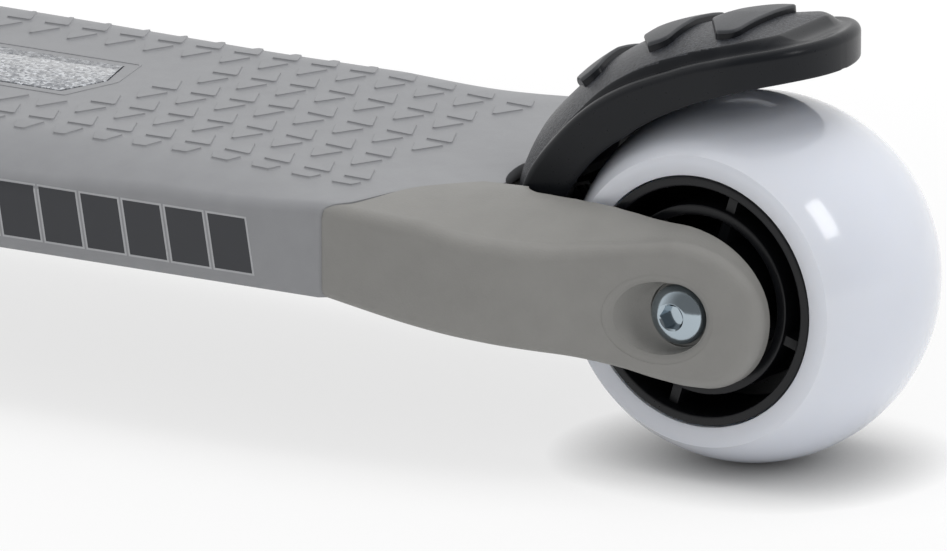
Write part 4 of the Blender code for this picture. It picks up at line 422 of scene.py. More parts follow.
def deckEdge(x, inset=0.0):
    # half width, fall and width of the shoulder, radius of the rounded edge, and the angle at which the
    # shoulder's parabola runs into the edge's arc
    side, drop = deckHalfWidth(x) - inset, shoulderDrop(x)
    radius = np.maximum(smoothCurve(deck["edge"], deckShare(x)) - inset, deck["leastEdge"])
    shoulder = np.minimum(deck["shoulder"], (side - deck["notchHalf"]) * 0.8)
    begin = math.pi / 2 - np.arctan(2 * drop / (shoulder - radius * 0.3))
    return side, drop, shoulder, radius, begin


def deckSection(x, inset=0.0):
    # half of the section at each x (a column): level middle, shoulder that falls as a parabola, an arc,
    # and the upright side down to the skirt's edge
    x = np.asarray(x, float).reshape(-1, 1)
    side, drop, shoulder, radius, begin = deckEdge(x, inset)
    top = deckTop(x) - inset
    reach = side - radius * (1 - np.cos(begin))
    flat = side - shoulder
    cz = top - drop - radius * np.sin(begin)
    f = np.linspace(0, 1, 30)[None]
    s = np.linspace(0, 1, 13)[None, 1:]
    a = begin * (1 - np.linspace(0, 1, 9)[None, 1:])
    d = np.linspace(0, 1, 11)[None, 1:]
    y = [flat * f, flat + (reach - flat) * s, side - radius + radius * np.cos(a), side + 0 * d]
    z = [top + 0 * f, top - drop * s * s, cz + radius * np.sin(a), cz + (deck["skirtLow"] - cz) * d]
    return np.concatenate(y, 1), np.concatenate(z, 1)


def deckSkin(inset, rows=150, rear=0.0, shape=True):
    # the cover's face as a grid: u runs from the rear edge, which follows the seam line, to the front
    y0 = deckSection([deck["seamX"]], inset)[0]
    back = np.where(shape, seamLine(np.minimum(y0, deck["seamHalf"])), 0.0) + rear
    u = np.linspace(0, 1, rows)[:, None]
    x = deck["seamX"] - back + (deck["frontX"] - deck["seamX"] + back) * u
    y, z = np.empty_like(x), np.empty_like(x)
    for k in range(x.shape[1]):
        yk, zk = deckSection(x[:, k], inset)
        y[:, k], z[:, k] = yk[:, k], zk[:, k]
    right = np.stack([x, -y, z], -1)[:, :0:-1]
    return np.concatenate([right, np.stack([x, y, z], -1)], 1)


def shellOf(outer, inner):
    # a wall between two equal grids, closed along its four edges
    n, m = outer.shape[:2]
    far = n * m
    faces = gridFaces(n, m) + [[far + i for i in f[::-1]] for f in gridFaces(n, m)]
    for edge in ([i * m for i in range(n)], [i * m + m - 1 for i in range(n)], list(range(m)),
                 list(range((n - 1) * m, n * m))):
        faces += [[a, b, far + b, far + a] for a, b in zip(edge, edge[1:])]
    return np.concatenate([outer.reshape(-1, 3), inner.reshape(-1, 3)]), faces


badge = {"rear": 0.166, "length": 0.120, "half": 0.0125, "point": 0.004, "floor": 0.0592, "proud": 0.00012,
         "soft": 0.0004, "line": 0.0027, "lineWidth": 0.00045, "lineSoft": 0.0008, "lineFoot": 0.0004,
         "lineEdge": 0.0001, "lineTop": 0.00018, "cutTop": 0.065}


def badgeOutline(grow):
    # a long panel, pointed at both ends, grown all round
    rear, front = badge["rear"] - grow, badge["rear"] + badge["length"] + grow
    half, point = badge["half"] + grow, badge["point"]
    return [(rear, 0), (rear + point, -half), (front - point, -half), (front, 0), (front - point, half),
            (rear + point, half)]


toWorld = Matrix.Translation((rearAxleX, 0, 0))
# cutTop here and below is the top of a cutting tool, clear above what it cuts
recess = placed(prism(badgeOutline(seatGap), badge["floor"], badge["cutTop"]), toWorld)
makePiece("deckCover", placed(shellOf(deckSkin(0.0), deckSkin(deck["wall"])), toWorld), coverGrey, "base",
          ["deck_cover"], tools=[("DIFFERENCE", recess)], bevel=0.0002, bevelAngle=55)


def deckSurface(x, y):
    # height of the cover's top at a place: level middle, then the shoulder's parabola
    side, drop, shoulder, radius, begin = deckEdge(x)
    reach = side - radius * (1 - np.cos(begin))
    s = np.clip((np.abs(y) - side + shoulder) / (reach - side + shoulder), 0, 1.05)
    return deckTop(x) - drop * s * s


def sideSurface(x, z, out):
    # a point off the cover's side: upright wall, then the rounded edge above it
    side, drop, shoulder, radius, begin = deckEdge(x)
    lift = np.clip((z - (deckTop(x) - drop - radius * np.sin(begin))) / radius, 0, 0.95)
    level = np.sqrt(1 - lift ** 2)
    return np.stack([x, side - radius + radius * level + out * level, z + out * lift], -1)


def plateOn(outline, surface, height, soft):
    # a thin plate on a surface: its edge rises as a quarter round from the surface to the plate's top
    sink = 0.0003
    p = softened(outline, soft, 4)
    centre = p.mean(0)
    ahead = np.roll(p, -1, 0) - np.roll(p, 1, 0)
    normal = np.c_[ahead[:, 1], -ahead[:, 0]] / np.linalg.norm(ahead, axis=1)[:, None]
    rows = [(p + normal * height * 0.8, -sink)]
    for t in np.linspace(0, math.pi / 2, 5):
        rows.append((p + normal * height * 0.8 * (1 - math.sin(t)), height * (1 - math.cos(t))))
    rows.append((centre + (p - centre) * 0.6, height))
    grid = [np.c_[q, surface(q[:, 0], q[:, 1]) + up] for q, up in rows]
    return skinned(grid)


def clipped(outline, keep):
    # the part of an outline where keep(point) is positive; keep is straight enough over one outline
    out = []
    for a, b in zip(outline, outline[1:] + outline[:1]):
        ka, kb = keep(a), keep(b)
        if ka > 0:
            out.append(a)
        if ka * kb < 0:
            t = ka / (ka - kb)
            out.append((a[0] + (b[0] - a[0]) * t, a[1] + (b[1] - a[1]) * t))
    return out


tread = {"start": (0.1425, -0.025), "step": 0.0102, "across": (0.00445, 0.01765), "rows": (-2, 6),
         "columns": (-14, 24), "height": 0.0005, "soft": 0.0005, "margin": 0.0137, "clear": 0.0035,
         "beside": 0.0025, "from": 0.0745, "to": 0.338, "leastArea": 0.000008,
         "padA": ((0, 0), (0.0037, -0.0079), (-0.0035, -0.0080)),
         "padB": ((-0.0028, 0.0074), (-0.0056, -0.0012), (-0.0095, 0.0072))}


def treadPads():
    # pairs of small three-cornered pads on a slanting lattice; the outer row is cut off along the deck's
    # edge, and no pad lies on the panel or past the ends of the tread, or is smaller than the least area
    pads = []
    ahead, beside = badge["line"] + tread["clear"], badge["line"] + tread["beside"]
    for j in range(*tread["rows"]):
        for i in range(*tread["columns"]):
            lx = tread["start"][0] + tread["step"] * i + tread["across"][0] * j
            ly = tread["start"][1] + tread["across"][1] * j
            for pad in (tread["padA"], tread["padB"]):
                outline = [(lx + x, ly + y) for x, y in pad]
                for sign in (-1, 1):
                    inEdge = lambda p: float(deckHalfWidth(p[0])) - tread["margin"] - sign * p[1]
                    outline = clipped(outline, inEdge)
                if len(outline) < 3:
                    continue
                p = np.array(outline)
                area = abs(np.cross(p[1:-1] - p[0], p[2:] - p[0]).sum()) / 2
                x, across = p[:, 0], np.abs(p[:, 1])
                if area < tread["leastArea"] or x.min() < tread["from"] or x.max() > tread["to"]:
                    continue
                along = (x > badge["rear"] - ahead) & (x < badge["rear"] + badge["length"] + ahead)
                if (along & (across < badge["half"] + beside)).any():
                    continue
                turn = np.cross(p[1] - p[0], p[2] - p[0])
                pads.append(plateOn(p if turn > 0 else p[::-1], deckSurface, tread["height"], tread["soft"]))
    return joined(*pads)


makePiece("deckTread", placed(treadPads(), toWorld), coverGrey, "base", crease=40)

panel = prism(softened(badgeOutline(0.0), badge["soft"], 4), badge["floor"] + seatGap,
              deck["height"] + badge["proud"])
makePiece("glitterPanel", placed(panel, toWorld), glitterFoil, "base", ["deck_badge"], bevel=0.00012)


def panelLine():
    # a fine raised line round the panel: up from under the cover's top, over a low crown and down again
    outer = softened(badgeOutline(badge["line"] + badge["lineWidth"]), badge["lineSoft"], 5)
    inner = softened(badgeOutline(badge["line"]), badge["lineSoft"], 5)
    foot, edge, top = -badge["lineFoot"], badge["lineEdge"], badge["lineTop"]
    rows = [(inner, foot), (inner, edge), (inner * 0.75 + outer * 0.25, top),
            (inner * 0.25 + outer * 0.75, top), (outer, edge), (outer, foot)]
    rings = [np.c_[q, np.full(len(q), deck["height"] + up)] for q, up in rows]
    return np.concatenate(rings), gridFaces(len(rings), len(inner), True, True)


makePiece("panelBorder", placed(panelLine(), toWorld), coverGrey, "base", crease=50)

bars = {"from": 0.0925, "pitch": 0.0107, "width": 0.0093, "low": 0.0398, "high": 0.0517, "slant": 0.16,
        "count": 13, "edge": 0.00045, "proud": 0.00005, "sunk": 0.0004}


def sideBars(grow, proud):
    # slanted bars that follow the side, on both sides of the deck: thin plates of rows up and columns along
    parts = []
    for k in range(bars["count"]):
        x0 = bars["from"] + k * bars["pitch"] - grow
        v, u = np.meshgrid(np.linspace(0, 1, 10), np.linspace(0, 1, 5), indexing="ij")
        z = bars["low"] - grow + (bars["high"] - bars["low"] + 2 * grow) * v
        x = x0 + (bars["width"] + 2 * grow) * u + bars["slant"] * (z - bars["low"])
        shell = shellOf(sideSurface(x, z, proud), sideSurface(x, z, -bars["sunk"]))
        parts += [shell, (shell[0] * (1, -1, 1), shell[1])]
    return joined(*parts)


barEdges, barFaces = sideBars(bars["edge"], bars["proud"]), sideBars(0, bars["proud"] * 2)
makePiece("sideBarEdges", placed(barEdges, toWorld), printPale, "base", crease=40)
makePiece("sideBars", placed(barFaces, toWorld), printDark, "base", crease=40)
print("deck cover, tread, panel and side bars made")


# rear fork and ribbed tray

fork = {"tipX": -0.0193, "endZ": 0.0389, "topX": 0.003, "lowX": -0.0065, "inner": 0.0265, "well": 0.043,
        "wellSoft": 0.006, "axleDrop": 0.001, "axleHole": 0.0043, "pinX": 0.0465, "pinZ": 0.051,
        "pinHole": 0.0028, "rootX": 0.023, "rootHalf": 0.0232, "rootDeep": 0.0085, "cornerLow": 0.002,
        "lipLong": 0.0006, "lipDrop": 0.0005, "cutTop": 0.08,
        # half width, top and underside of the arm in mm from the axle's foot point
        "half": [(-19.5, 31), (-12, 32.4), (-3, 34.2), (5, 36.1), (12, 38.3), (20, 41.5), (29, 46.1),
                 (38, 49.5), (48, 52), (60, 53.3), (76, 54)],
        "top": [(3, 57.3), (6, 57.35), (12, 57.9), (24, 59), (40, 59.1), (55, 58.6), (76, 58.26)],
        "low": [(-6.5, 23.5), (-3, 23.65), (4.2, 25), (11.3, 26.8), (23, 29), (38, 30.9), (53, 33),
                (76, 36.8)],
        # along the arm by its share, 0 at the tip and 1 at the seam: how far the top falls to its edge, how
        # wide its level part is, the upper corner's radius, and how far the section has become the cover's
        "fall": [(0, 0.001), (0.2, 0.0018), (0.36, 0.0046), (0.48, 0.0062), (0.6, 0.0055), (0.75, 0.003)],
        "flat": [(0, 0.8), (0.36, 0.68), (0.48, 0.58), (0.75, 0.5)],
        "corner": [(0, 0.0032), (0.3, 0.0036), (0.5, 0.0045), (0.76, 0.0038), (1, 0.003)],
        "toCover": [(0.69, 0), (1, 1)]}


def forkHalfWidth(x):
    # from the middle to the arm's outer face
    return 0.001 * smoothCurve(fork["half"], np.asarray(x) * 1000)


def forkLevels(x):
    # the arm's end is drawn by a quarter ellipse above and one below; forward of them run the top and the
    # underside; the outer edge of the top lies lower than its middle
    u = (x - fork["tipX"]) / (deck["seamX"] - fork["tipX"])
    reachTop = np.clip((fork["topX"] - x) / (fork["topX"] - fork["tipX"]), 0, 1)
    reachLow = np.clip((fork["lowX"] - x) / (fork["lowX"] - fork["tipX"]), 0, 1)
    high = 0.001 * smoothCurve(fork["top"], x * 1000) - fork["endZ"]
    deep = fork["endZ"] - 0.001 * smoothCurve(fork["low"], x * 1000)
    fall = smoothCurve(fork["fall"], u)
    fall = fall + (shoulderDrop(deck["seamX"]) - fall) * smoothCurve(fork["toCover"], u)
    return u, reachTop, reachLow, high, deep, fall


def forkSkin():
    # rings across the fork: level middle, a shoulder that falls away, a rounded corner, the upright side and
    # a smaller rounded corner below; a corner is measured square to the outline, by the outline's own slope
    swing = np.sin(np.radians(np.linspace(89.2, 0, 44)))
    x = np.concatenate([fork["topX"] - (fork["topX"] - fork["tipX"]) * swing,
                        np.linspace(fork["topX"], deck["seamX"] - seatGap, 84)[1:]])[:, None]
    u, reachTop, reachLow, high, deep, fall = forkLevels(x)
    lip = np.clip((x - deck["seamX"] + seatGap + fork["lipLong"]) / fork["lipLong"], 0, 1)
    side = forkHalfWidth(x) - fork["lipDrop"] * lip ** 3
    high = high - fork["lipDrop"] * lip ** 3
    corner = smoothCurve(fork["corner"], u)
    cornerLow = fork["cornerLow"] + (corner - fork["cornerLow"]) * smoothCurve([(-0.009, 1), (0.004, 0)], x)
    cz = fork["endZ"]
    riseTop, riseLow = np.sqrt(1 - reachTop ** 2), np.sqrt(1 - reachLow ** 2)
    top, edge, low = cz + high * riseTop, cz + (high - fall) * riseTop, cz - deep * riseLow
    toCover = smoothCurve(fork["toCover"], u)
    flat = side * smoothCurve(fork["flat"], u)
    flat = flat + (side - deck["shoulder"] - flat) * toCover
    t = np.linspace(0, 1, 26)[None]
    y1 = t * (side - corner)
    s = np.clip((y1 - flat) / (side - corner - flat), 0, 1)
    z1 = top - (top - edge) * s ** (1.35 + 0.6 * toCover)
    v = 0.5 - 0.5 * np.cos(math.pi * np.linspace(0, 1, 48)[None])
    z2 = edge * (1 - v) + low * v
    upper = z2 > cz
    reach, b = np.where(upper, reachTop, reachLow), np.where(upper, high - fall, deep)
    a = np.where(upper, fork["topX"] - fork["tipX"], fork["lowX"] - fork["tipX"])
    away = (z2 - cz) / b
    f = np.maximum(np.hypot(reach, away), 1e-6)
    d = np.maximum(1 - f, 0) * f / np.maximum(np.hypot(reach / a, away / b), 1e-6)
    c = np.where(upper, corner, cornerLow)
    y2 = side - c + np.sqrt(c * c - np.clip(c - d, 0, None) ** 2)
    y3 = (1 - np.linspace(0, 1, 8)[None]) * y2[:, -1:]
    y = np.concatenate([y1, y2[:, 1:], y3[:, 1:]], 1)
    z = np.concatenate([z1, z2[:, 1:], low + 0 * y3[:, 1:]], 1)
    ring = np.stack([x + 0 * y, y, z], -1)
    other = ring[:, -2:0:-1] * (1, -1, 1)
    return skinned(np.concatenate([ring, other], 1))


recessAt = {"x": 0.0028, "z": -0.0006, "half": 0.0099, "high": 0.0080, "floorR": 0.0071, "floorUp": 0.0038,
            "band": 0.0019, "roll": 0.0009, "step": 0.00012, "ledge": 0.0008, "bowl": 1.15, "rollPower": 2.2}


def armRecess():
    # egg-shaped pocket round an axle head: a floor under the head, a steep wall, a bowl whose depth under the
    # arm's face falls from the floor to the rim as (1 - t squared) to the bowl's power, and round its mouth a
    # smooth band that rolls over from the face like a flattened quarter round
    a = np.radians(np.arange(0, 360, 3.0))
    c, s = np.cos(a), np.sin(a)
    rimX, rimZ = recessAt["x"] + recessAt["half"] * c, recessAt["z"] + recessAt["high"] * s
    rho, angle = np.hypot(rimX, rimZ), np.arctan2(rimZ, rimX)
    floorR, floorY, roll = recessAt["floorR"], fork["inner"] + recessAt["floorUp"], recessAt["roll"]
    wallR, mouthR = floorR + 0.0001, np.maximum(rho, floorR + 0.0002)
    faceAt = lambda p: forkHalfWidth(p * np.cos(angle))
    rings = [(0.002 + 0 * rho, floorY + 0 * rho), (floorR + 0 * rho, floorY + 0 * rho)]
    for t in (0, 0.04, 0.12, 0.24, 0.38, 0.52, 0.66, 0.78, 0.87, 0.94, 0.98, 1):
        p = wallR + (mouthR - floorR - 0.0001) * t
        depth = (faceAt(p) - roll - floorY - recessAt["ledge"]) * (1 - t * t) ** recessAt["bowl"]
        rings.append((p, faceAt(p) - roll - depth))
    for t in (0.06, 0.15, 0.3, 0.5, 0.7, 0.88, 1):
        p = mouthR + recessAt["band"] * t
        rings.append((p, faceAt(p) - roll * (1 - t) ** recessAt["rollPower"] - recessAt["step"]))
    rings += [(p, faceAt(p) + 0.0002), (p, 0.06 + 0 * p)]
    middle = wheelR - fork["axleDrop"]
    grid = np.array([np.stack([p * np.cos(angle), y, middle + p * np.sin(angle)], -1) for p, y in rings])
    return skinned(grid), skinned(grid * (1, -1, 1))


tray = {"wall": 0.0032, "rib": 0.0024, "columns": 9, "middle": 0.3, "soft": 0.002, "lap": 0.010,
        "lift": 0.0004, "bedX": 0.0005, "bedHalf": 0.058, "bedTop": 0.07}
# the tongue that carries the steering head: half widths by their way ahead of the cover's front
neck = {"half": [(-0.02, 0.030), (0.006, 0.028), (0.020, 0.024), (0.052, 0.024)], "lift": 0.003,
        "height": 0.015, "soft": 0.0015}


def ribPockets(front):
    # the open cells between the ribs: three across the tray in each column, the outer two following its sides
    rear = deck["seamX"] - deck["tongue"] + deck["notchDepth"] + tray["wall"]
    pitch = (front - rear) / tray["columns"]
    inner, rib = deck["halfWidth"] * tray["middle"], tray["rib"] / 2
    wall = deck["wall"] + seatGap + tray["wall"]
    low = deck["skirtLow"] - 0.002
    cells = []
    for i in range(tray["columns"]):
        x0, x1 = rear + i * pitch + rib, rear + (i + 1) * pitch - rib
        roof = float(min(deckTop(x0), deckTop(x1))) - deck["wall"] - seatGap - tray["wall"]
        y0, y1 = float(deckHalfWidth(x0)) - wall, float(deckHalfWidth(x1)) - wall
        middle = rectangle(x0, -inner + rib, x1, inner - rib)
        cells.append(prism(softened(middle, tray["soft"], 4), low, roof))
        for sign in (-1, 1):
            near = sign * (inner + rib)
            outline = [(x0, near), (x1, near), (x1, sign * y1), (x0, sign * y0)]
            cells.append(prism(softened(outline, tray["soft"], 4), low, roof - deck["shoulderDrop"] * 0.5))
    return joined(*cells)


def traySkin():
    # the tray follows the cover's inner face a seat's gap away, and is cut level at its foot
    grid = deckSkin(deck["wall"] + seatGap, rows=60, shape=False, rear=tray["lap"])
    grid[..., 2] = np.maximum(grid[..., 2], deck["skirtLow"] + tray["lift"])
    return skinned(grid)


def coverBed():
    # the shallow bed in the fork's top, in the seam's shape, that takes the cover's rear tongue
    y = np.linspace(-deck["seamHalf"], deck["seamHalf"], 161)
    front = deck["seamX"] + tray["bedX"]
    outline = np.concatenate([np.c_[deck["seamX"] - seamLine(y) - seatGap, y],
                              [(front, tray["bedHalf"]), (front, -tray["bedHalf"])]])
    floor = float(deckTop(deck["seamX"]) - (deck["wall"] + seatGap) - shoulderDrop(deck["seamX"]))
    return prism(outline, floor, tray["bedTop"])


def neckBar():
    # the tongue as a flat bar
    half = [(deck["frontX"] + x, y) for x, y in neck["half"]]
    low = deck["skirtLow"] + neck["lift"]
    outline = [(x, -y) for x, y in half] + half[::-1]
    return prism(softened(outline, neck["soft"], 4), low, low + neck["height"])


def wheelWell():
    # the slot between the arms, and the narrower room of the brake's root ahead of it
    slot = rectangle(-wheelR, -fork["inner"], fork["well"], fork["inner"])
    front = deck["seamX"] - deck["tongue"] + deck["notchDepth"]
    root = rectangle(fork["rootX"], -fork["rootHalf"], front, fork["rootHalf"])
    return (prism(softened(slot, fork["wellSoft"], 8), 0, fork["cutTop"]),
            prism(softened(root, 0.002, 5), fork["pinZ"] - fork["rootDeep"], fork["cutTop"]))


well, root = wheelWell()
pinAxle = alongY(rearAxleX + fork["pinX"], fork["pinZ"])
screwAxle = alongY(rearAxleX, wheelR - fork["axleDrop"])
chassisTools = [("UNION", placed(traySkin(), toWorld)), ("DIFFERENCE", placed(coverBed(), toWorld)),
                ("UNION", placed(neckBar(), toWorld)),
                ("DIFFERENCE", placed(ribPockets(deck["frontX"] - tray["wall"]), toWorld)),
                ("DIFFERENCE", placed(well, toWorld)), ("DIFFERENCE", placed(root, toWorld)),
                ("DIFFERENCE", rod(fork["pinHole"], 24, 0.0313, pinAxle)),
                ("DIFFERENCE", rod(fork["axleHole"], 32, 0.06, screwAxle)),
                ("DIFFERENCE", placed(joined(*armRecess()), toWorld))]
makePiece("chassisMoulding", placed(forkSkin(), toWorld), nylonGrey, "base", ["chassis"], tools=chassisTools,
          crease=38)
print("fork and tray made")


# fender brake; angles are in degrees round the axle from straight ahead, and past 90 they go straight back

fender = {"half": 0.022, "wall": 0.0022, "skirtBevel": 0.0014, "rib": 0.0065, "rootGap": 0.0033,
          "padGap": 0.0042, "padThick": 0.0026, "padHalf": (0.010, 0.0065), "padTilt": 9, "pegR": 0.0018,
          "pegX": 0.005, "pegLong": 0.0045, "pegSunk": 0.0005, "pinHole": 0.0028, "tailStart": 92.0,
          "tailEnd": 114.7, "tailReach": 0.00087, "tailPower": 2.4, "rimRound": 2.2, "tailBand": 0.70,
          "channel": 0.25, "clawRise": 0.0018, "clawLong": 14.8, "clawSide": 5.2, "unrollR": 0.057,
          "claws": ((53.8, 0.0124), (75, 0.0136), (93.4, 0.0140)),
          "springRoom": ((-0.0095, -0.0070, -0.012), (0.0125, 0.0070, 0.0068)),
          # by the angle, in mm over the wheel: the skirt's lower edge, the lip and the crest
          "low": [(10, -0.5), (30, -1.8), (42, -1.95), (57, -1.95), (66, -1.2), (75, 0), (82, 1.3), (89, 3.1),
                  (95, 4.9), (100, 6.3), (106, 7.6), (112, 8.4), (116, 8.6)],
          "lip": [(10, 7.1), (25, 7), (40, 6.1), (50, 5.95), (60, 6), (70, 6.3), (77, 6.9), (83, 8),
                  (89, 9.4), (95, 10.9), (100, 12), (106, 13), (111, 13.6), (116, 14)],
          "crest": [(10, 16), (20, 17.4), (30, 17.2), (42, 16.1), (52, 15.7), (63, 15.6), (74, 15.8),
                    (84, 16.6), (93.5, 17.8), (98, 18.5), (103, 18.9), (116, 18.7)],
          # width in mm of the band round the crown and of the crown's steep foot, and the foot's share of the
          # crown's rise
          "band": [(10, 3.5), (60, 3.6), (84, 4), (93, 5), (104, 6.2), (116, 6.2)],
          "foot": [(10, 1), (80, 1.1), (100, 2.6), (116, 3.2)],
          "footShare": [(10, 0.02), (45, 0.08), (62, 0.24), (76, 0.36), (90, 0.42), (104, 0.5), (116, 0.5)],
          # how far the hollow inside has opened, the middle rib has ended and the tail is filled
          "hollow": [(28, 0), (40, 1)], "ribEnd": [(99, 0), (105, 1)], "filled": [(106, 0), (110, 0.97)]}


def tailShare(angle):
    # 0 until the tail begins and 1 at its end
    return np.clip((angle - fender["tailStart"]) / (fender["tailEnd"] - fender["tailStart"]), 0, 1)


def tailWay(angle):
    # the way straight back to the tail's end, in mm
    return (fender["tailEnd"] - angle) * fender["tailReach"] * 1000


def fenderHalf(angle):
    # half width: even, then rounded off by the tail's power curve
    return fender["half"] * np.sqrt(1 - tailShare(angle) ** fender["tailPower"])


def fenderRadius(kind, angle):
    # distance of the skirt's edge or the lip from the axle
    return wheelR + 0.001 * smoothCurve(fender[kind], angle)


def rimDistance(angle, y):
    # distance in mm from the fender's outline seen from above: the least of the way sideways, the way to the
    # rounded tail by its outline's own slope, and the way straight back
    half, share, power = fender["half"] * 1000, tailShare(angle), fender["tailPower"]
    across = np.abs(y) * 1000
    level = 1 - share ** power - (across / half) ** 2
    slope = np.hypot(2 * across / half ** 2, power * share ** (power - 1) / tailWay(fender["tailStart"]))
    toSide, toTail = fenderHalf(angle) * 1000 - across, level / np.maximum(slope, 1e-4)
    return np.maximum(np.minimum(np.minimum(toSide, toTail), tailWay(angle)), 0)


def crownDistance(angle, y):
    # the same distance blended with the shortened way to the tail, so that the crown ends in a blunt round
    # well ahead of the tail
    side = rimDistance(angle, y)
    back = np.maximum(tailWay(angle), 0) * fender["tailBand"]
    return side * back / np.maximum(np.hypot(side, back), 1e-6)


def crownRadius(angle, y):
    # inward from the outline: a rounded rim, a shallow channel, a steep foot and then a flat dome
    d, rim, band = rimDistance(angle, y), fender["rimRound"], smoothCurve(fender["band"], angle)
    foot, share = smoothCurve(fender["foot"], angle), smoothCurve(fender["footShare"], angle)
    lip, crest = smoothCurve(fender["lip"], angle), smoothCurve(fender["crest"], angle)
    rounding = rim * np.sqrt(1 - (1 - np.clip(d / rim, 0, 1)) ** 2)
    along = np.clip((d - rim * 0.8) / (band - rim * 0.8), 0, 1)
    channel = fender["channel"] * np.sin(math.pi * along) ** 2
    crown = crownDistance(angle, y)
    rise = np.clip((crown - band + foot) / foot, 0, 1)
    dome = 1 - (1 - np.clip((crown - band) / (fender["half"] * 1000 - band), 0, 1)) ** 2.1
    height = (crest - lip - rim) * (share * rise * rise * (3 - 2 * rise) + (1 - share) * dome)
    return wheelR + 0.001 * (lip + rounding - channel + height)


def fenderPoint(angle, y, radius):
    # round the axle up to the top of the wheel, then straight on rearwards
    turn = np.radians(np.minimum(angle, 90))
    x = np.where(angle > 90, (90 - angle) * fender["tailReach"], radius * np.cos(turn))
    z = wheelR + np.where(angle > 90, radius, radius * np.sin(turn))
    return np.stack(np.broadcast_arrays(x, y, z), -1)


def fenderPlace(x, z):
    # the other way round: angle and radius of a place in the world
    fx, fz = x - rearAxleX, z - wheelR
    turn = np.degrees(np.arctan2(fz, np.maximum(fx, 1e-6)))
    return np.where(fx < 0, 90 - fx / fender["tailReach"], turn), np.where(fx < 0, fz, np.hypot(fx, fz))


def fenderSkin():
    # rings along the fender: a small foot, the outer skirt up to the lip, the crown across, and inside a
    # middle rib, a hollow on either side of it and the inner skirt; root and tail are filled
    angles = [np.linspace(11, 99, 130), 99 + 15.67 * np.sin(np.radians(np.linspace(0, 90, 90)[1:]))]
    rings = []
    for angle in np.concatenate(angles):
        half = float(fenderHalf(angle))
        low, lip = float(fenderRadius("low", angle)), float(fenderRadius("lip", angle))
        foot = min(0.0004, half * 0.1)
        outer = [(half - foot, low), (half - foot * 0.3, low + foot * 0.3)]
        outer += [(half, low + foot + (lip - low - foot) * t) for t in np.linspace(0, 1, 8)]
        y = half * (1 - np.linspace(0, 1, 76)[1:] ** 1.8)
        outer += list(zip(y, crownRadius(angle, y)))
        wall, rib = min(fender["wall"], half * 0.3), min(fender["rib"], half * 0.35)
        hollow = float(smoothCurve(fender["hollow"], angle))
        overPad = fender["padGap"] + fender["padThick"] * 0.7
        face = wheelR + fender["rootGap"] + (overPad - fender["rootGap"]) * hollow
        lift = lambda y: face + 0.0002 + (float(crownRadius(angle, y)) - fender["wall"] - face) * hollow
        roof, slope, brink = lift(half * 0.34), lift(half * 0.6), lift(half * 0.9)
        tip = face + (roof - 0.0003 - face) * float(smoothCurve(fender["ribEnd"], angle))
        inner = [(0, tip), (rib, tip), (rib + 0.0002, roof), (half * 0.62, slope), (half - wall, brink),
                 (half - wall, low + fender["skirtBevel"])]
        filled = float(smoothCurve(fender["filled"], angle))
        inner = [(y, low + (r - low) * (1 - filled)) for y, r in inner]
        ring = outer + [(-y, r) for y, r in outer[-2::-1]] + [(-y, r) for y, r in inner[::-1]] + inner[1:]
        y, r = np.array(ring).T
        rings.append(fenderPoint(angle, y, r))
    return skinned(rings)


def dense(outline, step):
    # extra points along the straight stretches of a closed outline
    out = []
    for a, b in zip(outline, np.roll(outline, -1, 0)):
        count = max(1, int(np.linalg.norm(b - a) / step))
        out += [a + (b - a) * t for t in np.arange(count) / count]
    return np.array(out)


def clawSkin(rear, half):
    # a scale proud of the crown: pointed ahead, wide and blunt behind with an upright rear wall; its outline
    # is drawn on the unrolled crown, its edge is a quarter round and its top a little flatter than the crown
    unroll = fender["unrollR"] * math.pi / 180
    start, side = rear - fender["clawLong"], rear - fender["clawSide"]
    points = [(start * unroll, 0), (side * unroll, -half), (rear * unroll, -half * 0.97),
              (rear * unroll, half * 0.97), (side * unroll, half)]
    p = dense(softened(points, [0.004, 0.0015, 0.0036, 0.0036, 0.0015], 9), 0.0007)
    ahead = np.roll(p, -1, 0) - np.roll(p, 1, 0)
    inward = np.c_[-ahead[:, 1], ahead[:, 0]] / np.linalg.norm(ahead, axis=1)[:, None]
    centre = np.array([(rear - 5) * unroll, 0])
    edge, sink, straight = 0.0005, 0.0008, 0.75
    rows = [(p, 0), (p, 0.3), (p + inward * 0.0001, straight)]
    for t in np.linspace(0.3, math.pi / 2, 6):
        rows.append((p + inward * (0.0001 + edge * (1 - math.cos(t))), straight + 0.25 * math.sin(t)))
    rim = rows[-1][0]
    inwards = (0.93, 0.85, 0.75, 0.65, 0.55, 0.45, 0.35, 0.25, 0.15, 0.06)
    rows += [(centre + (rim - centre) * t, 1) for t in inwards]
    rings = []
    for q, up in rows:
        angle, y = q[:, 0] / unroll, q[:, 1]
        base = crownRadius(angle, y)
        flatter = crownRadius(angle, 0 * y) * 0.1 + base * 0.9
        rise = fender["clawRise"] * smoothCurve([(0, 0.45), (5, 0.95), (9, 1), (16, 0.9)], angle - start)
        top = np.maximum(flatter, base) + rise
        rings.append(fenderPoint(angle, y, base - sink + (top - base + sink) * up))
    return skinned(rings)


padFrame = (Matrix.Translation((rearAxleX, 0, wheelR))
            @ Matrix.Rotation(math.radians(fender["padTilt"]), 4, "Y"))
padFace = wheelR + fender["padGap"]
padTop = padFace + fender["padThick"]
pinPlace = Matrix.Translation((rearAxleX + fork["pinX"], 0, fork["pinZ"]))


def padPegs(grow):
    # the two pegs that hold the pad in the rib
    low = padTop - fender["pegSunk"]
    peg = prism(disc(fender["pegR"] + grow, 32), low, low + fender["pegLong"] + grow)
    return joined(*[placed(peg, Matrix.Translation((x, 0, 0))) for x in (-fender["pegX"], fender["pegX"])])


def padBox(grow, low, high):
    # the pad's plate, or the pocket that it lies in
    long, wide = fender["padHalf"][0] + grow, fender["padHalf"][1] + grow
    return prism(rectangle(-long, -wide, long, wide), low, high)


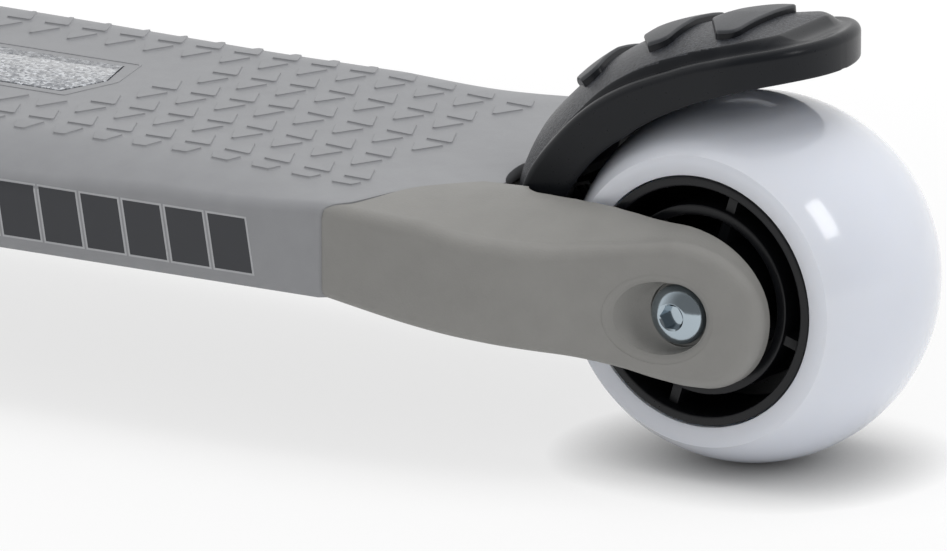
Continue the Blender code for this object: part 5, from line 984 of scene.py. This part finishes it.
fenderTools = [("DIFFERENCE", placed(slab(*fender["springRoom"]), pinPlace)),
               ("DIFFERENCE", rod(fender["pinHole"], 32, 0.032, pinPlace @ layOver)),
               ("DIFFERENCE", placed(padBox(seatGap, wheelR, padTop + seatGap), padFrame)),
               ("DIFFERENCE", placed(padPegs(seatGap), padFrame))]
moulding = makePiece("brakeFender", placed(fenderSkin(), toWorld), nylonBlack, "brake", ["brake_fender"],
                     tools=fenderTools, crease=40)


def onCrown(x, y, z):
    # faces of the grained top: inside the lip and above it, from just behind the root
    angle, radius = fenderPlace(x, z)
    inside = crownDistance(angle, y) > smoothCurve(fender["band"], angle) - 0.2
    return inside & (radius > crownRadius(angle, y) - 0.0006) & (angle > 12)


def onClawTop(x, y, z):
    # the scales' finely etched top faces, which lie a little above the crown
    angle, radius = fenderPlace(x, z)
    return radius - crownRadius(angle, y) > fender["clawRise"] * 0.42


secondFinish(moulding, nylonGrained, onCrown)
claws = makePiece("fenderClaws", placed(joined(*[clawSkin(*claw) for claw in fender["claws"]]), toWorld),
                  nylonBlack, "brake", crease=50)
secondFinish(claws, nylonEtched, onClawTop)
makePiece("brakePad", placed(padBox(0, padFace, padTop), padFrame), steelGround, "brake", ["brake_pad"],
          tools=[("UNION", placed(padPegs(0), padFrame))], bevel=0.0003)
print("fender brake made")


# rear wheel and axle

tyre = {"half": 0.0245, "crownHalf": 0.0242, "wall": [(0.0309, 0.0001), (0.0296, 0), (0.0275, 0.0004)]}


def sphereTyre():
    # crown as part of a ball of the wheel's radius, then a soft corner, a side wall and the bore
    edge = math.asin(tyre["crownHalf"] / wheelR)
    a = np.linspace(-edge, edge, 49)
    crown = np.c_[wheelR * np.cos(a), wheelR * np.sin(a)]
    side = [(r, tyre["half"] - step) for r, step in tyre["wall"]]
    outline = np.concatenate([crown, side, [(r, -y) for r, y in side[::-1]]])
    return turned(outline, 160)


axle = alongY(rearAxleX, wheelR)
makePiece("rearTyre", placed(sphereTyre(), axle), tyreMilky, "rear_wheel", ["rear_tyre"])

hub = {"rimR": 0.0272, "rimWall": 0.0021, "ringR": 0.0208, "ringWall": 0.0023, "face": 0.0241,
       "ringFace": 0.0224, "web": 0.005, "boss": 0.0136, "bossFace": 0.0219, "seat": 0.0113,
       "seatFloor": 0.0142, "lip": 0.0075, "soft": 0.0004, "ribStep": 0.003, "ribHalf": 0.0011,
       "ribLap": 0.001, "ribAngle": 17.4, "ribs": 4}


def rearHub():
    # outer rim, web, a second ring set back a little, and the boss round the bearing, with softened corners
    rimIn, ringIn = hub["rimR"] - hub["rimWall"], hub["ringR"] - hub["ringWall"]
    half = [(hub["rimR"], hub["face"]), (rimIn, hub["face"]), (rimIn, hub["web"]), (hub["ringR"], hub["web"]),
            (hub["ringR"], hub["ringFace"]), (ringIn, hub["ringFace"]), (ringIn, hub["web"]),
            (hub["boss"], hub["web"]), (hub["boss"], hub["bossFace"]), (hub["seat"], hub["bossFace"]),
            (hub["seat"], hub["seatFloor"]), (hub["lip"], hub["seatFloor"])]
    outline = half + [(r, -y) for r, y in half[::-1]]
    return turned(softened(outline, hub["soft"], 5), 120)


def hubRibs():
    # flat ribs from the boss to the rim, as high on one side of the web as on the other
    high = hub["face"] - hub["ribStep"]
    near, far, half = hub["boss"] - hub["ribLap"], hub["rimR"] - hub["ribLap"], hub["ribHalf"]
    rib = slab((near, -half, -high), (far, half, high))
    turns = [math.radians(360 / hub["ribs"] * k - hub["ribAngle"]) for k in range(hub["ribs"])]
    return joined(*[placed(rib, axle @ Matrix.Rotation(turn, 4, "Z")) for turn in turns])


makePiece("rearHub", placed(rearHub(), axle), coreBlack, "rear_wheel", ["rear_hub"],
          tools=[("UNION", hubRibs())], bevel=0.0002, bevelAngle=60)


def ringPart(inner, outer, low, high, segments=72):
    # a plain ring with broken corners
    corners = rectangle(inner, low, outer, high)
    return turned(softened(corners, 0.0003, 4), segments)


axleHead = {"radius": 0.0065, "height": 0.0042, "upright": 0.22, "domeTo": 62, "level": 0.44, "soft": 0.0003,
            "flats": 0.005, "socketFloor": 0.42, "mouth": 0.62, "mouthBevel": 0.0004, "shank": 0.0026,
            "shankEnd": 0.012, "barrel": 0.004, "barrelBore": 0.0029, "barrelFace": 0.002,
            "barrelFloor": 0.004}


def headOutline(low):
    # a button head: short upright edge, domed shoulder, level top
    radius, height, upright = axleHead["radius"], axleHead["height"], axleHead["upright"]
    last = math.radians(axleHead["domeTo"])
    a = np.radians(np.linspace(0, axleHead["domeTo"], 12))
    dome = [(radius * math.cos(t), low + height * (upright + (1 - upright) * math.sin(t) / math.sin(last)))
            for t in a]
    return [(radius - axleHead["soft"], low), (radius, low + axleHead["soft"]), *dome,
            (radius * axleHead["level"], low + height), (0, low + height)]


def socketTools(seat):
    # the hexagon of a key and the bevelled mouth above it
    height, flats, mouth = axleHead["height"], axleHead["flats"], axleHead["flats"] * axleHead["mouth"]
    top = seat + height
    hexagon = prism(disc(flats / math.sqrt(3), 6), seat + height * axleHead["socketFloor"], seat + height * 2)
    levels = ((flats * 0.5, top - axleHead["mouthBevel"]), (mouth, top + 0.0001), (mouth, top + 0.002))
    return [hexagon, skinned([np.c_[disc(r, 48), np.full(48, z)] for r, z in levels])]


seat = fork["inner"] + recessAt["floorUp"] + seatGap
shank, shankEnd = axleHead["shank"], axleHead["shankEnd"] - seat
screw = [(0, shankEnd), (shank, shankEnd), (shank, seat)] + headOutline(seat)
keyTools = [("DIFFERENCE", placed(part, screwAxle)) for part in socketTools(seat)]
makePiece("axleScrew", placed(turned(screw, 72), screwAxle), zincBlue, "base", ["rear_axle_screw"],
          tools=keyTools, crease=28)
bore, mouth, floor = axleHead["barrelBore"], seat - axleHead["barrelFace"], axleHead["barrelFloor"] - seat
barrel = [(bore, mouth), (axleHead["barrel"], mouth), (axleHead["barrel"], -seat)]
barrel += [(r, -z) for r, z in headOutline(seat)] + [(0, floor), (bore, floor)]
makePiece("axleBarrel", placed(turned(barrel, 72), screwAxle), zincBlue, "base", ["rear_axle_barrel"],
          crease=28)

# 608 bearings between the boss's floors and the washers, and the washers out to the arms
bearing = {"bore": 0.0043, "innerR": 0.006, "outerBore": 0.0063, "outerR": 0.011, "width": 0.007,
           "low": {"Left": 0.0145, "Right": -0.0215}, "washerR": 0.0075,
           "washer": {"Left": (0.0218, 0.0262), "Right": (-0.0262, -0.0218)}}
for side, low in bearing["low"].items():
    high, name = low + bearing["width"], side.lower()
    outerRing = ringPart(bearing["outerBore"], bearing["outerR"], low, high)
    innerRing = ringPart(bearing["bore"], bearing["innerR"], low, high)
    makePiece(f"rearBearing{side}", placed(outerRing, axle), steelGround, "rear_wheel",
              [f"rear_bearing_{name}"])
    makePiece(f"rearInnerRing{side}", placed(innerRing, axle), steelGround, "base",
              [f"rear_inner_ring_{name}"])
for side, span in bearing["washer"].items():
    washer = ringPart(bearing["bore"], bearing["washerR"], *span)
    makePiece(f"rearWasher{side}", placed(washer, axle), steelGround, "base", [f"rear_washer_{side.lower()}"])
print("rear wheel and axle made")


# front wheels

frontWheel = {"x": 0.450, "y": 0.102, "radius": 0.060, "half": 0.012, "core": 0.0438, "bulge": 0.0074,
              "hubHalf": 0.013, "rimWall": 0.004, "rimLip": 0.003, "web": 0.003, "seat": 0.0113,
              "seatFloor": 0.0057, "lip": 0.0075, "foot": 0.006, "bossWall": 0.003, "holes": 5,
              "holeEdge": 0.0018, "segments": 144}
webOut = frontWheel["core"] - frontWheel["rimWall"]
webIn = frontWheel["seat"] + frontWheel["foot"]


def frontTyreOutline():
    # a round crown, a slightly hollow side wall and the bore on the core
    a = np.radians(np.linspace(-59, 59, 29))
    radius, half = frontWheel["radius"], frontWheel["half"]
    crown = np.c_[radius - frontWheel["bulge"] * (1 - np.cos(a)), half * np.sin(a)]
    side = [(radius - half * 0.55, half), (radius - 0.011, half * 0.965),
            (frontWheel["core"] + seatGap, half * 0.92)]
    side = softened([crown[-1], *side], [0, 0.0015, 0.004, 0], 6, closed=False)[1:]
    return np.concatenate([crown, side, side[::-1] * (1, -1)])


def frontHubOutline():
    # rim, dished web and boss with the bearing's seat, the same on both sides
    core, seat = frontWheel["core"], frontWheel["seat"]
    rim, face = frontWheel["half"] * 0.86, frontWheel["hubHalf"]
    half = [(core, rim), (core - frontWheel["rimLip"], rim), (webOut, frontWheel["web"]),
            (webIn, frontWheel["web"]), (seat + frontWheel["bossWall"], face), (seat, face),
            (seat, frontWheel["seatFloor"]), (frontWheel["lip"], frontWheel["seatFloor"])]
    return softened(half + [(r, -y) for r, y in half[::-1]], 0.0006, 5)


def hubWindows():
    # round holes through the web, evenly round the hub
    middle = Matrix.Translation(((webOut + webIn) / 2, 0, 0))
    turns = [2 * math.pi * k / frontWheel["holes"] for k in range(frontWheel["holes"])]
    radius = (webOut - webIn) / 2 - frontWheel["holeEdge"]
    return joined(*[rod(radius, 40, 0.02, Matrix.Rotation(turn, 4, "Z") @ middle) for turn in turns])


for side, sign in (("left", 1), ("right", -1)):
    place = alongY(rearAxleX + frontWheel["x"], frontWheel["radius"], sign * frontWheel["y"])
    rubber = placed(turned(frontTyreOutline(), frontWheel["segments"]), place)
    core = placed(turned(frontHubOutline(), frontWheel["segments"]), place)
    makePiece(f"frontTyre{side.title()}", rubber, tyreMilky, f"front_wheel_{side}", [f"front_tyre_{side}"])
    makePiece(f"frontHub{side.title()}", core, coreBlack, f"front_wheel_{side}", [f"front_hub_{side}"],
              tools=[("DIFFERENCE", placed(hubWindows(), place))], bevel=0.0004, bevelAngle=50)
print("front wheels made")


# stem, handlebar, grips and collar; heights are measured along the stem from its foot

stem = {"x": 0.436, "z": 0.08425, "tilt": -9, "radius": 0.019, "wall": 0.0015, "foot": 0.0023, "top": 0.336,
        "slit": 0.003, "slitLong": 0.031, "boltZ": 0.031, "boltR": 0.0033}
stemFrame = (Matrix.Translation((rearAxleX + stem["x"], 0, stem["z"]))
             @ Matrix.Rotation(math.radians(stem["tilt"]), 4, "Y"))
slitHalf = stem["slit"] / 2
pastTop = 0.35    # above the stem's top, for tools that cut right through


def onStem(tools):
    # tools put in the stem's place
    return [(kind, placed(part, stemFrame)) for kind, part in tools]


tube = ringPart(stem["radius"] - stem["wall"], stem["radius"], stem["foot"], stem["top"], 96)
stemBolt = Matrix.Translation((0, 0, stem["boltZ"])) @ layOver
stemTools = [("DIFFERENCE", slab((0, -slitHalf, stem["top"] - stem["slitLong"]), (0.03, slitHalf, pastTop))),
             ("DIFFERENCE", rod(stem["boltR"], 28, 0.06, stemBolt))]
makePiece("stemTube", placed(tube, stemFrame), tubeBlack, "base", ["stem_tube"], tools=onStem(stemTools))

bar = {"upper": 0.016, "wall": 0.0018, "low": 0.171, "boreLow": 0.16, "z": 0.56269, "radius": 0.011,
       "half": 0.1197, "boreHalf": 0.13, "teeHalf": 0.024, "teeWall": 0.002, "teeLap": 0.001,
       "teeLip": 0.0004, "teeSoft": 0.0025}
barFrame = stemFrame @ Matrix.Translation((0, 0, bar["z"])) @ layOver


def teeOutline():
    # a sleeve round the bar, thick in the middle and drawn in to thin lips
    tee, mouth, far = bar["upper"] + bar["teeWall"], bar["radius"] + bar["teeLap"], bar["teeHalf"]
    lip, soft = bar["teeLip"], bar["teeSoft"]
    corners = [(0, -far), (mouth, -far), (tee, -far * 0.8), (tee, far * 0.8), (mouth, far), (0, far)]
    return softened(corners, [0, lip, soft, soft, lip, 0], 7)


upperEnd = bar["z"] - (bar["upper"] + bar["teeWall"]) - bar["wall"]
upperBore = prism(disc(bar["upper"] - bar["wall"], 96), bar["boreLow"], upperEnd)
crossbar = turned(rectangle(0, -bar["half"], bar["radius"], bar["half"]), 72)
barTools = [("UNION", placed(turned(teeOutline(), 96), barFrame)), ("UNION", placed(crossbar, barFrame)),
            ("DIFFERENCE", placed(upperBore, stemFrame)),
            ("DIFFERENCE", rod(bar["radius"] - bar["wall"], 72, bar["boreHalf"], barFrame))]
upperTube = prism(disc(bar["upper"], 96), bar["low"], bar["z"])
makePiece("handlebar", placed(upperTube, stemFrame), tubeBlack, "handlebar", ["handlebar"], tools=barTools,
          bevel=0.0005, bevelAngle=50, crease=40)

grip = {"start": 0.027, "length": 0.098, "radius": 0.0155, "bore": 0.0113, "ribs": 11, "ribFrom": 0.16,
        "ribTo": 0.9, "ribDeep": 0.0006, "collarOut": 0.0036, "collarLong": 0.003, "endWall": 0.005,
        "swell": [(0, -0.0015), (0.5, 0), (0.85, -0.001), (0.96, 0.0008), (1, 0.001)]}


def gripOutline():
    # a soft collar towards the tee, a gently swelling barrel with shallow rings round it and a rounded end
    radius, length, bore = grip["radius"], grip["length"], grip["bore"]
    z = np.linspace(0.0075, length - 0.0045, 240)
    share = z / length
    inside = (share > grip["ribFrom"]) & (share < grip["ribTo"])
    along = (share - grip["ribFrom"]) / (grip["ribTo"] - grip["ribFrom"])
    ring = np.where(inside, 0.5 - 0.5 * np.cos(2 * math.pi * along * grip["ribs"]), 0)
    barrel = np.c_[radius + smoothCurve(grip["swell"], share) - grip["ribDeep"] * ring ** 3, z]
    ends = [(radius + 0.001, length - 0.004), (radius - 0.001, length), (0.0, length)]
    ends = softened(ends, [0, 0.0012, 0], 6, closed=False)
    brim = radius + grip["collarOut"]
    sleeve = [(bore, 0), (brim, 0), (brim, grip["collarLong"]), (radius - 0.0012, 0.007)]
    sleeve = softened(sleeve, [0, 0.0008, 0.0012, 0], 6, closed=False)
    inEnd = length - grip["endWall"]
    return np.concatenate([sleeve, barrel, ends, [(0, inEnd), (bore, inEnd)]])


for side, sign in (("left", 1), ("right", -1)):
    outline = gripOutline()
    outline = np.c_[outline[:, 0], sign * (grip["start"] + outline[:, 1])]
    makePiece(f"grip{side.title()}", placed(turned(outline, 72), barFrame), gripBlack, "handlebar",
              [f"grip_{side}"], crease=50)

collar = {"height": 0.027, "wall": 0.0045, "earWall": 0.0065, "earLong": 0.015, "earFrom": 0.0096,
          "earSoft": 0.0025, "earShort": 0.004, "boltIn": 0.006, "boltR": 0.0028, "cutLow": 0.29}
collarIn = stem["radius"] + seatGap
collarLow, collarHigh = stem["top"] - collar["height"], stem["top"] - seatGap
earEnd, earHalf = collarIn + collar["earLong"], slitHalf + collar["earWall"]
earBolt = Matrix.Translation((earEnd - collar["boltIn"], 0, (collarLow + collarHigh) / 2)) @ layOver
earRadii = [0, collar["earSoft"], collar["earSoft"], 0]
ears = softened(rectangle(collar["earFrom"], -earHalf, earEnd, earHalf), earRadii, 7)
collarTools = [("UNION", prism(ears, collarLow + collar["earShort"], collarHigh - collar["earShort"])),
               ("DIFFERENCE", prism(disc(collarIn, 96), collar["cutLow"], pastTop)),
               ("DIFFERENCE", slab((0, -slitHalf, collar["cutLow"]), (0.05, slitHalf, pastTop))),
               ("DIFFERENCE", rod(collar["boltR"], 28, 0.03, earBolt))]
band = prism(disc(collarIn + collar["wall"], 96), collarLow, collarHigh)
makePiece("clampCollar", placed(band, stemFrame), collarBlack, "base", ["clamp_collar"],
          tools=onStem(collarTools), bevel=0.0005, bevelAngle=50)
print("stem, handlebar, grips and collar made")


# floor, light and camera; the floor's own light fades up from the rear wheel to its far ends

# shade is the reach of the painted contact shadow on the floor's glow
studio = {"paper": "#F8F8F8", "shine": 0.74, "shade": 0.02, "fadeFrom": 0.12, "fadeTo": 0.6, "farWhite": 1.12,
          "sky": 0.5, "dimFrom": -0.75, "dimTo": 0.2, "dim": 0.25}
# place, aim, width, length and power of each lamp
lamps = {"topSoftBox": ((-0.3, -0.1, 1.7), (-0.2, 0, 0.05), 1.2, 1.2, 13.5),
         "rearSoftBox": ((-1.43, 0.04, 1.10), (rearAxleX, 0, 0.04), 0.3, 0.62, 3.2)}
view = {"azimuth": 31.8, "elevation": 15.6, "distance": 2.3, "focalPixels": 10764, "wheelAt": (754.4, 275.7),
        "frame": (947, 551), "sensor": 36}

# matt paper: an even pale paper without gloss that keeps the object's soft shadow; the camera sees it mostly
# as a white glow, which pales that shadow, and ambient occlusion darkens the glow next to the object as a
# painted contact shadow, the dark contact line
floorFinish = bpy.data.materials.new("pale sweep, matt paper")
floorFinish.use_nodes = True
tree = floorFinish.node_tree
paper = tree.nodes["Principled BSDF"]
for key, value in (("Base Color", linear(studio["paper"])), ("Roughness", 0.9), ("Specular IOR Level", 0.0)):
    paper.inputs[key].default_value = value


def seenRays(tree):
    # 1 for the rays by which the camera, metal and glass see a background, 0 for the light that it gives
    path = node(tree, "ShaderNodeLightPath").outputs
    either = node(tree, "ShaderNodeMath", {0: path["Is Camera Ray"], 1: path["Is Glossy Ray"]},
                  operation="MAXIMUM")
    return node(tree, "ShaderNodeMath", {0: either.outputs[0], 1: path["Is Transmission Ray"]},
                operation="MAXIMUM").outputs[0]


def spanOf(tree, value, fromMin, fromMax, toMin, toMax):
    # a value taken smoothly from one span to another
    limits = {"From Min": fromMin, "From Max": fromMax, "To Min": toMin, "To Max": toMax}
    return node(tree, "ShaderNodeMapRange", {"Value": value}, limits,
                interpolation_type="SMOOTHSTEP").outputs[0]


share = node(tree, "ShaderNodeMath", {0: seenRays(tree)}, {1: studio["shine"]}, operation="MULTIPLY")
# painted contact shadow: ambient occlusion over a short reach darkens the floor's white glow where the object
# stands close above it
near = node(tree, "ShaderNodeAmbientOcclusion", values={"Distance": studio["shade"]}, samples=16)
position = node(tree, "ShaderNodeNewGeometry").outputs["Position"]
away = node(tree, "ShaderNodeVectorMath", {0: position}, {1: (rearAxleX, 0, 0)}, operation="DISTANCE")
bright = spanOf(tree, away.outputs["Value"], studio["fadeFrom"], studio["fadeTo"], 1.0, studio["farWhite"])
white = node(tree, "ShaderNodeEmission", {"Color": near.outputs["Color"], "Strength": bright})
sweep = node(tree, "ShaderNodeMixShader", {0: share.outputs[0], 1: paper.outputs[0], 2: white.outputs[0]})
tree.links.new(sweep.outputs[0], tree.nodes["Material Output"].inputs["Surface"])

floorMesh = bpy.data.meshes.new("floor")
floorMesh.from_pydata([(x, y, 0) for x, y in rectangle(-6, -6, 6, 6)], [], [(0, 1, 2, 3)])
floorMesh.materials.append(floorFinish)
addObject("floor", floorMesh)

a, e = math.radians(view["azimuth"]), math.radians(view["elevation"])
ahead = Vector((math.sin(a) * math.cos(e), -math.cos(a) * math.cos(e), -math.sin(e)))
right = Vector((-math.cos(a), -math.sin(a), 0))
up = right.cross(ahead)
aside, below = [(place - size / 2) / view["focalPixels"] * view["distance"]
                for place, size in zip(view["wheelAt"], view["frame"])]

# the studio: even light from all round; seen in metal or plastic it is white, but dim behind the camera
world = bpy.data.worlds.new("studio")
bpy.context.scene.world = world
world.use_nodes = True
tree = world.node_tree
sky = tree.nodes["Background"]
sky.inputs["Color"].default_value = linear("#FFFFFF")
sky.inputs["Strength"].default_value = studio["sky"]
around = node(tree, "ShaderNodeTexCoord").outputs["Generated"]
way = node(tree, "ShaderNodeVectorMath", {0: around}, {1: ahead}, operation="DOT_PRODUCT")
dim = spanOf(tree, way.outputs["Value"], studio["dimFrom"], studio["dimTo"], studio["dim"], 1.0)
back = node(tree, "ShaderNodeBackground", {"Strength": dim}, {"Color": linear("#FFFFFF")})
blend = node(tree, "ShaderNodeMixShader", {0: seenRays(tree), 1: sky.outputs[0], 2: back.outputs[0]})
tree.links.new(blend.outputs[0], tree.nodes["World Output"].inputs["Surface"])


def lamp(name, place, aim, width, length, power):
    # a soft box that looks from its place to its aim
    data = bpy.data.lights.new(name, "AREA")
    data.shape, data.size, data.size_y, data.energy = "RECTANGLE", width, length, power
    made = addObject(name, data)
    made.location = place
    made.rotation_euler = (Vector(aim) - Vector(place)).to_track_quat("-Z", "Y").to_euler()
    return made


softBoxes = {name: lamp(name, *values) for name, values in lamps.items()}
softBoxes["topSoftBox"].visible_glossy = False    # no mirror image of it on the glossy tyre

cameraData = bpy.data.cameras.new("camera")
camera = addObject("camera", cameraData)
pose = Matrix((right, up, -ahead)).transposed().to_4x4()
pose.translation = Vector((rearAxleX, 0, wheelR)) - ahead * view["distance"] - right * aside + up * below
camera.matrix_world = pose
cameraData.sensor_width = view["sensor"]
cameraData.lens = view["focalPixels"] / view["frame"][0] * view["sensor"]
cameraData.clip_start = 0.05
bpy.context.scene.camera = camera
bpy.context.scene.view_settings.view_transform = "Standard"
print("floor, light and camera made")
